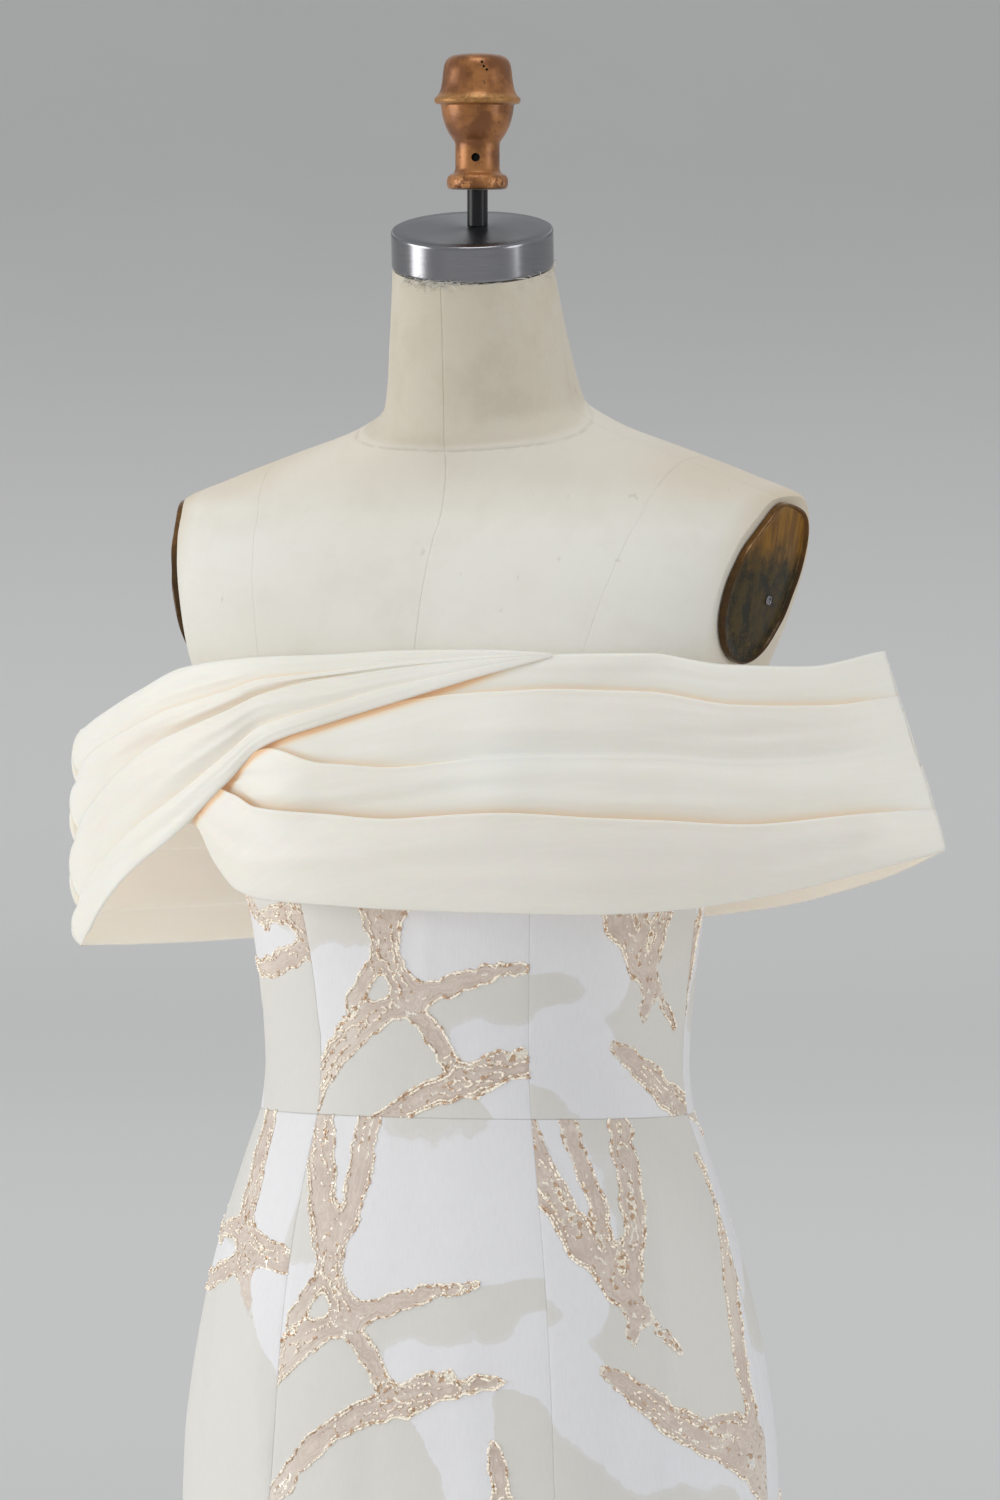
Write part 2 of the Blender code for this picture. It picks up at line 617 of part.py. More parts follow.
def panel_heights():
    """Where the rows of points run in the skirt panels and in the bodice panels."""
    skirt = [row.height for row in SKIRT]
    skirt[-1] = WAIST - 0.5 * SEAM_GAP
    bodice = spread(WAIST + 0.5 * SEAM_GAP, BODICE_TOP_HIGHEST, BODICE_ROWS)
    return skirt, bodice


def make_panels(brocade):
    """Five bodice panels and five skirt panels, cut at the princess, side and centre back seams."""
    skirt, bodice = panel_heights()
    cuts = [
        ("front", lambda z: -princess_seam(z), princess_seam, FRONT_COLUMNS),
        ("side_front_right", lambda z: -SIDE_SEAM, lambda z: -princess_seam(z), SIDE_COLUMNS),
        ("side_front_left", princess_seam, lambda z: SIDE_SEAM, SIDE_COLUMNS),
        ("back_right", lambda z: -CENTRE_BACK, lambda z: -SIDE_SEAM, REAR_COLUMNS),
        ("back_left", lambda z: SIDE_SEAM, lambda z: CENTRE_BACK, REAR_COLUMNS),
    ]
    for name, start, end, columns in cuts:
        panel(f"bodice_{name}", start, end, bodice, bodice_top, columns, brocade)
        panel(f"skirt_{name}", start, end, skirt, lambda angle: skirt[-1], columns, brocade)


def rest_on_bodice(x, depth, height):
    """Moves a point of the drape outwards where the bodice is in its way."""
    angle = math.atan2(x, depth)
    radius = math.hypot(x, depth)
    needed = dress_radius(angle, height) + SEAM_GAP
    rested = 0.5 * (radius + needed + math.hypot(radius - needed, REST_ROUNDING))
    return x * rested / radius, depth * rested / radius


def drape_point(across, height, face, offset):
    """A point of the drape: face is 1 in front and -1 behind, and offset is measured outwards."""
    side = "left" if across > 0 else "right"
    reach = along(LOOP, "height", side, height)
    deepest = along(LOOP, "height", "front" if face > 0 else "back", height)
    x = across * reach
    depth = face * (0.5 * SEAM_GAP + deepest * (1 - abs(across) ** LOOP_POWER))
    x, depth = rest_on_bodice(x, depth, height)
    turn = 0.5 * math.pi * abs(across) ** TURN_POWER
    x += math.copysign(math.sin(turn), across) * offset
    depth += face * math.cos(turn) * offset
    return Vector((x, -depth, height))


def tuck_rows(rows, across, layer_rows):
    """The places down the drape where points are taken, each with how far the cloth stands out there.

    A tuck's folded edge points up: the cloth steps outwards there and then falls back to the next tuck.
    """
    top, bottom = (along(rows, "across", column, across) for column in ("top", "bottom"))
    lip = LIP / (top - bottom)
    tucks = [
        (along(rows, "across", place, across), along(rows, "across", rise, across))
        for place, rise in TUCK_COLUMNS
    ]
    found = []
    start, rise = 0.0, 0.0
    for place, next_rise in [*tucks, (1.0 + lip, 0.0)]:
        end = place - lip
        for share in spread(0.0, 1.0, layer_rows):
            found.append((top - (top - bottom) * (start + (end - start) * share), rise * (1 - share)))
        start, rise = place + lip, next_rise
    return found


def drape(name, rows, first, last, columns, face, finish, lift=None):
    """A piece of the drape as a wall, from across = first to across = last."""
    outer_columns, inner_columns = [], []
    for across in spread(first, last, columns):
        stand_off = along(rows, "across", lift, across) if lift else 0.0
        outer, inner = [], []
        for height, rise in tuck_rows(rows, across, DRAPE_LAYER_ROWS):
            inner.append(drape_point(across, height, face, stand_off + rise))
            outer.append(drape_point(across, height, face, stand_off + rise + WALL))
        outer_columns.append(outer)
        inner_columns.append(inner)
    return wall(name, outer_columns, inner_columns, finish)


def make_drape(ivory):
    """The wrap, the front band under it, and the two halves of the back band."""
    closing = 0.5 * SEAM_GAP / LOOP[0].right
    drape("drape_wrap", WRAP, WRAP[0].across, WRAP[-1].across, WRAP_COLUMNS, 1, ivory, "lift")
    drape("drape_band", BAND, BAND[0].across, BAND[-1].across, BAND_COLUMNS, 1, ivory)
    drape("drape_back_right", BACK, BACK[0].across, -closing, BACK_COLUMNS, -1, ivory)
    drape("drape_back_left", BACK, closing, BACK[-1].across, BACK_COLUMNS, -1, ivory)


# The zip

def zip_tape_heights():
    """The heights of the tape's rows, the same as those of the panels it is sewn to."""
    skirt, bodice = panel_heights()
    low, high = bodice[0], bodice[-1]
    squeeze = (bodice_top(CENTRE_BACK) - low) / (high - low)
    sewn = [height for height in skirt if height >= ZIP_LOW]
    sewn += [low + (height - low) * squeeze for height in bodice]
    return [*sewn, ZIP_HIGH]


def zip_tape_row(height, inset):
    """Three points across the tape: along the flats of the two back panels, and inside them."""
    step = (CENTRE_BACK - SIDE_SEAM) / REAR_COLUMNS
    middle = polar(CENTRE_BACK, dress_radius(CENTRE_BACK, height), height)
    beside = polar(CENTRE_BACK - step, dress_radius(CENTRE_BACK - step, height), height)
    edge = middle + (beside - middle).normalized() * ZIP_TAPE_HALF_WIDTH
    inwards = Vector((0, -inset, 0))
    return [
        Vector((-edge.x, edge.y, height)) + inwards,
        middle + inwards,
        edge + inwards,
    ]


def make_zip(ivory, metal):
    """The concealed zip's tape inside the centre back, its slider at the top and the slider's tab."""
    inside = WALL + SEAM_GAP
    heights = zip_tape_heights()
    outer = [zip_tape_row(height, inside) for height in heights]
    inner = [zip_tape_row(height, inside + ZIP_TAPE_THICKNESS) for height in heights]
    wall("zip_tape", outer, inner, ivory)

    _, hinge_y, hinge_z = TAB_HINGE
    low = ZIP_HIGH + SEAM_GAP
    half_width = 0.5 * SLIDER_WIDTH
    ear_y = hinge_y + 0.5 * TAB_THICKNESS + 0.0006
    body = prism(
        "zip_slider",
        [
            (SLIDER_INSIDE, low),
            (SLIDER_OUTSIDE, low),
            (SLIDER_OUTSIDE, low + SLIDER_HEIGHT),
            (SLIDER_INSIDE, low + SLIDER_HEIGHT),
        ],
        -half_width,
        half_width,
        metal,
    )
    for side in (-1, 1):
        ear_inside = side * (half_width - EAR_THICKNESS)
        ear = prism(
            f"zip_ear_{side}",
            [
                (SLIDER_OUTSIDE - 0.001, hinge_z - 0.5 * EAR_LENGTH),
                (ear_y, hinge_z - 0.5 * EAR_LENGTH),
                (ear_y, hinge_z + 0.5 * EAR_LENGTH),
                (SLIDER_OUTSIDE - 0.001, hinge_z + 0.5 * EAR_LENGTH),
            ],
            min(ear_inside, side * half_width),
            max(ear_inside, side * half_width),
            metal,
        )
        ear.hide_render = True
        ear.display_type = "WIRE"
        add_boolean(body, ear, "UNION")

    half = 0.5 * TAB_THICKNESS
    top = [
        (half * math.cos(a), half * math.sin(a)) for a in spread(0.0, math.pi, 6)
    ]
    outline = top + [(-half, -TAB_LENGTH), (half, -TAB_LENGTH)]
    tab = prism("zip_tab", outline, -0.5 * TAB_WIDTH, 0.5 * TAB_WIDTH, metal)
    tab.location = TAB_HINGE


def main():
    clear_scene()
    brocade = material("brocade", (0.80, 0.80, 0.79), 0.55)
    ivory = material("ivory_satin", (0.86, 0.82, 0.73), 0.45)
    linen = material("linen", (0.70, 0.68, 0.60), 0.85)
    steel = material("brushed_steel", (0.62, 0.62, 0.64), 0.28, 1.0)
    black = material("black_rod", (0.02, 0.02, 0.022), 0.35)
    copper = material("copper_finial", (0.36, 0.17, 0.08), 0.40, 0.7)
    bronze = material("bronze_plate", (0.16, 0.11, 0.04), 0.30, 0.9)
    iron = material("black_iron", (0.03, 0.03, 0.03), 0.55)
    zip_metal = material("zip_metal", (0.80, 0.78, 0.72), 0.35, 0.6)
    make_torso(linen, bronze)
    make_neck_fittings(steel, black, copper)
    make_stand(iron, steel)
    make_panels(brocade)
    make_drape(ivory)
    make_zip(ivory, zip_metal)


main()
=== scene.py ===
"""Looks of the off-shoulder dress, its dress form and its stand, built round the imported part.

Lengths are metres and +Z is up. The dress faces -Y, so the wearer's left is at +X. Angles round the form
start at the centre front and grow towards the wearer's left.
"""

import math
from collections import namedtuple

import bmesh
import bpy
import numpy as np
from bpy.props import FloatProperty, FloatVectorProperty, IntProperty, PointerProperty
from bpy.types import NodeSocket, Operator, Panel, PropertyGroup
from mathutils import Matrix, Vector


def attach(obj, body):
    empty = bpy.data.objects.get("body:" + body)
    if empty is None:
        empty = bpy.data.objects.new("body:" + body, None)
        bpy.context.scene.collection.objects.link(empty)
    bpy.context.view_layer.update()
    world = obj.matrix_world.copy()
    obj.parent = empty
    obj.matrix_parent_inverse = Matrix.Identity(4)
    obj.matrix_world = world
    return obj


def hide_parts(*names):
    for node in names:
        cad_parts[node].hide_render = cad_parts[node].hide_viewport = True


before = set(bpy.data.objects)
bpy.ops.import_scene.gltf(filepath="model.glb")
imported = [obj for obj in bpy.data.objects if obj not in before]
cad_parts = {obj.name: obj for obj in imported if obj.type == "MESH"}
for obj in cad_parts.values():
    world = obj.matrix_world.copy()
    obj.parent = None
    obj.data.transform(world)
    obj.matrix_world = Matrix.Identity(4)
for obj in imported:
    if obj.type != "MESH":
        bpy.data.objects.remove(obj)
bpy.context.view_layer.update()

bl_info = {
    "name": "Off-shoulder dress on its form",
    "version": (1, 0, 0),
    "blender": (4, 5, 0),
    "location": "3D View > Sidebar > Dress",
    "description": "Builds the dress's cloth, the dress form's surfaces and a small studio",
    "category": "Object",
}

DRESS = "dress_on_form"
TAB = "zip_tab"

WALL = 0.002
SEAM_GAP = 0.0003
WAIST = 1.040
HEM = 0.012
SKIRT_POWER = 2.2
SIDE_SEAM = math.radians(92)
CENTRE_BACK = math.pi


def table(columns, *rows):
    """Rows whose numbers go by the names of their columns. Zeros at the end of a row may be left out."""
    kind = namedtuple("Row", columns)
    return [kind(*row, *[0.0] * (len(kind._fields) - len(row))) for row in rows]


# The form's sections, as in the part's source.
FIGURE = table(
    "height half_width front back power centre lean turn",
    (0.742, 0.145, 0.082, 0.092, 2.2),
    (0.758, 0.161, 0.093, 0.105, 2.2),
    (0.806, 0.173, 0.099, 0.115, 2.2),
    (0.840, 0.174, 0.101, 0.118, 2.2),
    (0.880, 0.170, 0.102, 0.115, 2.2),
    (0.926, 0.161, 0.101, 0.107, 2.2),
    (0.962, 0.151, 0.098, 0.098, 2.2),
    (1.004, 0.139, 0.092, 0.087, 2.2),
    (1.040, 0.1304, 0.0876, 0.0806, 2.2),
    (1.070, 0.1273, 0.0863, 0.0793, 2.2),
    (1.110, 0.1296, 0.0906, 0.0836, 2.2),
    (1.150, 0.134, 0.097, 0.090, 2.2),
    (1.226, 0.146, 0.105, 0.101, 2.2),
    (1.270, 0.155, 0.103, 0.106, 2.4),
    (1.310, 0.177, 0.096, 0.108, 2.8),
    (1.350, 0.193, 0.088, 0.103, 2.8, -0.004),
    (1.385, 0.202, 0.080, 0.090, 2.6, -0.013, 2.0),
    (1.405, 0.199, 0.072, 0.080, 2.4, -0.019, 4.0),
    (1.419, 0.168, 0.068, 0.075, 2.2, -0.019, 5.0),
    (1.434, 0.126, 0.065, 0.070, 2.1, -0.017, 6.0),
    (1.450, 0.080, 0.0635, 0.0660, 2.0, -0.0135, 7.0),
    (1.463, 0.0600, 0.0605, 0.0620, 2.0, -0.0105, 8.0, 4.0),
    (1.500, 0.0535, 0.0545, 0.0545, 2.0, -0.0020, 11.0, 12.0),
    (1.546, 0.0480, 0.0480, 0.0480, 2.0, 0.0070, 14.0, 18.0),
)
CUP_DEPTH = 0.021
CUP_ANGLE = math.radians(35)
CUP_SPREAD = math.radians(24)
CUP_HEIGHT = 1.222
CUP_ABOVE = 0.060
CUP_BELOW = 0.046

BODICE_EASE = table("height ease", (1.040, 0.0041), (1.130, 0.0045), (1.300, 0.0045))

SKIRT = table(
    "height half_width front back flute",
    (HEM, 0.372, 0.330, 0.392, 0.045),
    (0.080, 0.340, 0.300, 0.352, 0.042),
    (0.180, 0.286, 0.248, 0.284, 0.034),
    (0.290, 0.234, 0.200, 0.222, 0.020),
    (0.400, 0.194, 0.163, 0.177, 0.008),
    (0.500, 0.176, 0.141, 0.153, 0.002),
    (0.620, 0.174, 0.127, 0.139),
    (0.730, 0.181, 0.117, 0.133),
    (0.806, 0.1855, 0.111, 0.130),
    (0.836, 0.1845, 0.109, 0.129),
    (0.878, 0.1795, 0.108, 0.125),
    (0.926, 0.1705, 0.106, 0.116),
    (0.962, 0.1612, 0.103, 0.106),
    (1.004, 0.1475, 0.0975, 0.094),
    (WAIST, 0.1345, 0.0917, 0.0847),
)
FLUTES = 11

PRINCESS_SEAM = table(
    "height degrees",
    (HEM, 45.0), (0.400, 44.0), (0.806, 43.0), (WAIST, 40.5), (1.150, 38.5), (1.222, 35.0), (1.300, 38.0),
)
BODICE_TOP = table(
    "degrees height",
    (0.0, 1.272), (35.0, 1.290), (70.0, 1.274), (92.0, 1.264), (140.0, 1.258), (180.0, 1.262),
)
BODICE_TOP_HIGHEST = 1.290

# The drape's loops, tucks and edges. "across" runs from the wearer's right arm loop to the left one.
LOOP = table(
    "height right left front back",
    (1.130, 0.2620, 0.3090, 0.1240, 0.1000),
    (1.196, 0.2620, 0.2995, 0.1245, 0.1060),
    (1.230, 0.2620, 0.2895, 0.1230, 0.1090),
    (1.270, 0.2620, 0.2755, 0.1150, 0.1110),
    (1.315, 0.2620, 0.2605, 0.1010, 0.1120),
)
LOOP_POWER = 2.3
TURN_POWER = 2.5
REST_ROUNDING = 0.002
LIP = 0.0026

WRAP = table(
    "across top bottom lift tuck_1 rise_1 tuck_2 rise_2 tuck_3 rise_3",
    (-1.000, 1.2650, 1.1340, 0.0000, 0.225, 0.0035, 0.490, 0.0035, 0.800, 0.0020),
    (-0.870, 1.2770, 1.1620, 0.0020, 0.215, 0.0060, 0.490, 0.0060, 0.800, 0.0020),
    (-0.730, 1.2908, 1.1850, 0.0050, 0.240, 0.0065, 0.455, 0.0070, 0.800, 0.0025),
    (-0.587, 1.3052, 1.2065, 0.0062, 0.255, 0.0060, 0.435, 0.0075, 0.800, 0.0030),
    (-0.436, 1.3105, 1.2380, 0.0058, 0.260, 0.0046, 0.440, 0.0060, 0.790, 0.0028),
    (-0.346, 1.3125, 1.2590, 0.0048, 0.250, 0.0034, 0.430, 0.0042, 0.780, 0.0026),
    (-0.187, 1.3142, 1.2740, 0.0038, 0.240, 0.0014, 0.340, 0.0018, 0.760, 0.0022),
    (0.000, 1.3170, 1.2890, 0.0038, 0.240, 0.0005, 0.340, 0.0007, 0.700, 0.0015),
    (0.200, 1.3176, 1.3050, 0.0034, 0.240, 0.0002, 0.400, 0.0002, 0.700, 0.0004),
    (0.335, 1.3162, 1.3148, 0.0022, 0.240, 0.0001, 0.400, 0.0001, 0.700, 0.0001),
)
DRAPE_COLUMNS = "across top bottom tuck_1 rise_1 tuck_2 rise_2 tuck_3 rise_3"
BAND = table(
    DRAPE_COLUMNS,
    (-0.600, 1.2450, 1.2150, 0.060, 0.0010, 0.200, 0.0020, 0.400, 0.0030),
    (-0.545, 1.2500, 1.2125, 0.060, 0.0010, 0.200, 0.0025, 0.380, 0.0040),
    (-0.480, 1.2590, 1.1900, 0.060, 0.0010, 0.190, 0.0035, 0.350, 0.0045),
    (-0.416, 1.2670, 1.1750, 0.060, 0.0010, 0.180, 0.0040, 0.400, 0.0050),
    (-0.345, 1.2750, 1.1700, 0.060, 0.0010, 0.175, 0.0045, 0.500, 0.0060),
    (-0.170, 1.2900, 1.1675, 0.070, 0.0010, 0.335, 0.0060, 0.580, 0.0070),
    (0.020, 1.3000, 1.1655, 0.085, 0.0020, 0.380, 0.0026, 0.620, 0.0075),
    (0.210, 1.3115, 1.1645, 0.125, 0.0035, 0.385, 0.0004, 0.620, 0.0080),
    (0.380, 1.3155, 1.1640, 0.140, 0.0045, 0.390, 0.0004, 0.640, 0.0080),
    (0.540, 1.3158, 1.1665, 0.155, 0.0050, 0.400, 0.0002, 0.665, 0.0080),
    (0.700, 1.3092, 1.1745, 0.180, 0.0050, 0.420, 0.0002, 0.705, 0.0075),
    (0.850, 1.3080, 1.1865, 0.195, 0.0050, 0.440, 0.0002, 0.730, 0.0070),
    (1.000, 1.3168, 1.2004, 0.227, 0.0035, 0.450, 0.0001, 0.800, 0.0035),
)
BACK = table(
    DRAPE_COLUMNS,
    (-1.000, 1.2650, 1.1340, 0.300, 0.0035, 0.580, 0.0035, 0.860, 0.0030),
    (-0.800, 1.2670, 1.1360, 0.300, 0.0055, 0.580, 0.0060, 0.850, 0.0050),
    (-0.500, 1.2760, 1.1415, 0.280, 0.0055, 0.560, 0.0060, 0.850, 0.0050),
    (-0.150, 1.2840, 1.1450, 0.270, 0.0030, 0.540, 0.0035, 0.840, 0.0030),
    (0.000, 1.2860, 1.1465, 0.270, 0.0003, 0.540, 0.0003, 0.840, 0.0003),
    (0.150, 1.2880, 1.1490, 0.270, 0.0030, 0.540, 0.0035, 0.840, 0.0030),
    (0.500, 1.2980, 1.1605, 0.280, 0.0055, 0.560, 0.0060, 0.850, 0.0050),
    (0.800, 1.3065, 1.1810, 0.300, 0.0055, 0.580, 0.0060, 0.860, 0.0050),
    (1.000, 1.3168, 1.2004, 0.300, 0.0035, 0.580, 0.0035, 0.860, 0.0030),
)
TUCK_COLUMNS = (("tuck_1", "rise_1"), ("tuck_2", "rise_2"), ("tuck_3", "rise_3"))

# Soft creases in the bodice and the skirt: where each lies, how long and wide it is, how far it stands
# out or in, and how many degrees it leans from upright.
PANEL_CREASES = table(
    "degrees height half_length half_width depth lean",
    (66.0, 0.885, 0.110, 0.0080, 0.0022, 6.0),
    (57.0, 0.870, 0.090, 0.0090, -0.0016, 7.0),
    (78.0, 0.930, 0.080, 0.0060, -0.0012, -5.0),
    (22.0, 0.850, 0.120, 0.0140, 0.0010, -4.0),
    (-12.0, 0.820, 0.100, 0.0120, -0.0009, 5.0),
    (-48.0, 0.870, 0.090, 0.0080, 0.0014, -6.0),
    (-70.0, 0.900, 0.100, 0.0070, -0.0013, -4.0),
    (-84.0, 0.860, 0.080, 0.0080, 0.0015, 3.0),
    (28.0, 1.092, 0.030, 0.0050, -0.0007, 72.0),
    (-30.0, 1.082, 0.034, 0.0045, -0.0006, -68.0),
    (64.0, 1.098, 0.030, 0.0050, 0.0008, 60.0),
    (72.0, 1.074, 0.026, 0.0040, -0.0007, 66.0),
    (-66.0, 1.088, 0.030, 0.0050, -0.0007, -62.0),
    (6.0, 1.150, 0.040, 0.0060, 0.0006, 8.0),
    (120.0, 0.900, 0.110, 0.0100, 0.0014, 5.0),
    (140.0, 0.860, 0.090, 0.0090, -0.0012, -6.0),
    (160.0, 0.990, 0.030, 0.0060, -0.0010, 70.0),
    (-118.0, 0.890, 0.100, 0.0090, -0.0012, -5.0),
    (-138.0, 0.910, 0.110, 0.0110, 0.0013, 7.0),
    (-158.0, 1.000, 0.034, 0.0060, -0.0009, -66.0),
    (132.0, 1.096, 0.034, 0.0050, -0.0008, 64.0),
    (-126.0, 1.104, 0.030, 0.0050, -0.0007, -70.0),
    (34.0, 0.560, 0.150, 0.0160, 0.0022, 3.0),
    (-26.0, 0.520, 0.160, 0.0180, -0.0018, -3.0),
    (-74.0, 0.540, 0.140, 0.0150, 0.0020, 4.0),
    (92.0, 0.580, 0.150, 0.0170, -0.0018, -4.0),
    (150.0, 0.560, 0.170, 0.0180, 0.0024, 3.0),
    (-146.0, 0.600, 0.150, 0.0160, -0.0020, -3.0),
    (12.0, 0.250, 0.160, 0.0200, -0.0040, 2.0),
    (-56.0, 0.230, 0.150, 0.0220, 0.0045, -3.0),
    (70.0, 0.240, 0.150, 0.0210, 0.0040, 3.0),
    (-108.0, 0.220, 0.160, 0.0220, -0.0040, 2.0),
    (124.0, 0.230, 0.160, 0.0220, 0.0045, -2.0),
    (172.0, 0.260, 0.170, 0.0240, -0.0040, 2.0),
)

# Soft creases in the drape, by place across, share of the way down, and half length and width in the
# same measures. "slant" is how far down the crease runs from its middle to its far end.
CREASE_COLUMNS = "across share half_length half_width depth slant"
WRAP_CREASES = table(
    CREASE_COLUMNS,
    (-0.82, 0.10, 0.22, 0.030, -0.0014, -0.02),
    (-0.60, 0.12, 0.26, 0.035, 0.0012, 0.03),
    (-0.78, 0.35, 0.24, 0.040, -0.0016, 0.02),
    (-0.50, 0.34, 0.20, 0.030, 0.0012, -0.03),
    (-0.80, 0.63, 0.22, 0.045, -0.0018, 0.03),
    (-0.58, 0.66, 0.24, 0.040, 0.0014, -0.02),
    (-0.74, 0.90, 0.20, 0.030, -0.0012, 0.02),
    (-0.30, 0.55, 0.26, 0.050, 0.0012, 0.04),
    (-0.22, 0.16, 0.24, 0.040, -0.0009, 0.02),
    (-0.96, 0.50, 0.06, 0.060, -0.0010, 0.05),
)
BAND_CREASES = table(
    CREASE_COLUMNS,
    (-0.36, 0.30, 0.14, 0.030, -0.0016, 0.05),
    (-0.26, 0.46, 0.18, 0.035, 0.0014, 0.06),
    (-0.10, 0.24, 0.22, 0.030, -0.0010, 0.03),
    (0.08, 0.50, 0.26, 0.030, -0.0010, -0.02),
    (0.22, 0.27, 0.30, 0.035, 0.0010, 0.02),
    (0.46, 0.52, 0.28, 0.040, -0.0012, 0.03),
    (0.70, 0.30, 0.20, 0.035, -0.0010, -0.02),
    (0.82, 0.56, 0.16, 0.040, 0.0012, 0.03),
    (-0.40, 0.70, 0.12, 0.050, -0.0016, 0.08),
    (-0.24, 0.78, 0.24, 0.045, 0.0014, 0.04),
    (0.10, 0.80, 0.30, 0.040, -0.0010, -0.02),
    (0.40, 0.88, 0.26, 0.035, 0.0010, 0.02),
    (0.78, 0.86, 0.20, 0.035, -0.0010, -0.03),
    (0.60, 0.07, 0.24, 0.020, -0.0008, 0.01),
)
BACK_CREASES = table(
    CREASE_COLUMNS,
    (-0.84, 0.14, 0.14, 0.040, -0.0014, 0.03),
    (-0.52, 0.18, 0.22, 0.045, 0.0014, -0.03),
    (-0.20, 0.12, 0.12, 0.030, -0.0010, 0.03),
    (-0.70, 0.44, 0.22, 0.045, -0.0016, 0.02),
    (-0.34, 0.46, 0.20, 0.035, 0.0012, 0.03),
    (-0.62, 0.74, 0.24, 0.050, 0.0016, -0.03),
    (-0.22, 0.72, 0.14, 0.040, -0.0012, 0.04),
    (0.24, 0.14, 0.16, 0.035, -0.0010, -0.03),
    (0.60, 0.16, 0.22, 0.045, 0.0014, 0.03),
    (0.86, 0.18, 0.12, 0.040, -0.0012, 0.04),
    (0.36, 0.42, 0.22, 0.040, -0.0014, -0.02),
    (0.74, 0.46, 0.20, 0.045, 0.0014, 0.03),
    (0.28, 0.74, 0.18, 0.045, 0.0012, -0.04),
    (0.68, 0.72, 0.24, 0.050, -0.0016, 0.03),
)

# The jacquard's repeat. Each band of it starts at x and y, sets out at a heading in degrees and turns by
# "curl" on its way. "tone" says which side of the band has the lighter ground.
REPEAT_WIDTH = 0.40
REPEAT_HEIGHT = 0.54
REPEAT_STEP = 0.002
STRANDS = table(
    "x y heading length curl half_width tone",
    (0.040, 0.535, -70, 0.290, 22, 0.0090, 1),
    (0.118, 0.530, -108, 0.230, -30, 0.0075, -1),
    (0.076, 0.520, -88, 0.120, 10, 0.0055, 1),
    (0.165, 0.510, 6, 0.115, -70, 0.0070, 1),
    (0.205, 0.500, -62, 0.200, 14, 0.0085, 1),
    (0.232, 0.505, -76, 0.150, 6, 0.0050, -1),
    (0.262, 0.505, -88, 0.150, -6, 0.0050, -1),
    (0.300, 0.520, -97, 0.200, 14, 0.0070, -1),
    (0.372, 0.470, -90, 0.260, 18, 0.0075, 1),
    (0.348, 0.440, -76, 0.130, -22, 0.0050, -1),
    (0.010, 0.190, 42, 0.270, -84, 0.0080, 1),
    (0.035, 0.158, 46, 0.215, -82, 0.0060, -1),
    (0.080, 0.262, 14, 0.130, -40, 0.0060, 1),
    (0.190, 0.262, -72, 0.110, 34, 0.0065, -1),
    (0.205, 0.190, -30, 0.150, -20, 0.0085, -1),
    (0.252, 0.315, -36, 0.150, -16, 0.0085, -1),
    (0.300, 0.280, -28, 0.120, -46, 0.0090, -1),
    (0.345, 0.235, -74, 0.170, 24, 0.0080, 1),
    (0.285, 0.100, 10, 0.130, 36, 0.0060, 1),
    (0.070, 0.090, -30, 0.170, -22, 0.0080, -1),
    (0.030, 0.105, 168, 0.110, 30, 0.0070, 1),
    (0.150, 0.060, 24, 0.120, -36, 0.0055, 1),
)

# Rows of metallic thread: how far each lies from the bands' edges, how much of the edge it skips (-2 for
# none, 2 for all), and the share of its floats that are there.
THREAD_ROWS = [(0.0004, -1.1, 0.92), (-0.0014, 0.1, 0.55), (-0.0046, 0.5, 0.75)]

# The floats stand closer above this height. Their size is length, thickness and arch.
DENSE_ABOVE = 0.70
FRAYED_SHARE = 0.06
FLOAT_SIZE = (0.0030, 0.00070, 0.00046)

# Where each panel of the dress lies on the cloth, measured to the panel's middle.
PANEL_CUTS = table(
    "part start end across up",
    ("front", lambda z: -princess_seam(z), lambda z: princess_seam(z), 0.10, 0.30),
    ("side_front_right", lambda z: -SIDE_SEAM, lambda z: -princess_seam(z), 0.31, 0.05),
    ("side_front_left", lambda z: princess_seam(z), lambda z: SIDE_SEAM, 0.26, 0.31),
    ("back_right", lambda z: -CENTRE_BACK, lambda z: -SIDE_SEAM, 0.05, 0.12),
    ("back_left", lambda z: SIDE_SEAM, lambda z: CENTRE_BACK, 0.21, 0.43),
)
PANEL_STEP = 0.0034
COLUMN_RADIUS = 0.17
SKIRT_STEP = 0.0047
SKIRT_SHIFT = (0.035, 0.19)
EDGE_PLACES = (0.0, 0.0008, 0.0022)
EDGE_MARGIN = 0.0045
SEAM_DIP = 0.0003

# How finely the drape is built, and the full height of a tuck and of a layer between tucks.
TUCK_ROWS = 11
LAYER_ROWS = 13
DRAPE_STEP = 0.0024
DRAPE_REACH = 0.31
FULL_TUCK = 0.004
LAYER_PUFF = 0.0028

# The armholes' slanting planes, the plates on them, and what stands on the neck.
ARMHOLE_LOW = (0.1665, 1.270)
ARMHOLE_HIGH = (0.1960, 1.430)
ARMHOLE_TURN = math.radians(8)
PLATE_SPREAD = 1.035
PLATE_DEPTH = 0.0045
PLATE_MIDDLE = 0.0028
PLATE_STEPS = 120
CUTTER_REACH = 0.150
CAP_RADIUS = 0.0486
CAP_HEIGHT = 0.0225
ROD_RADIUS = 0.0062
FINIAL_FOOT = 1.5920
PIN_HOLE_RADIUS = 0.0026
PIN_HOLE_HEIGHT = 0.0190
PIN_HOLE_DEGREES = 18
FINIAL_PITS = ((31, 0.0758, 0.0172), (34, 0.0732, 0.0182), (39, 0.0712, 0.0186))
TAB_HINGE = (0.0, 0.1178, 1.2920)
ZIP_HIGH = 1.2862

# The studio's floor and wall, and the middle of the picture, across and up from the dress's foot.
STAGE_REACH = 48.0
WALL_Y = 42.0
WALL_BEND = 14.0
WALL_HEIGHT = 18.0
VIEW_MIDDLE = (0.0135, 1.256)
SENSOR_HEIGHT = 36.0

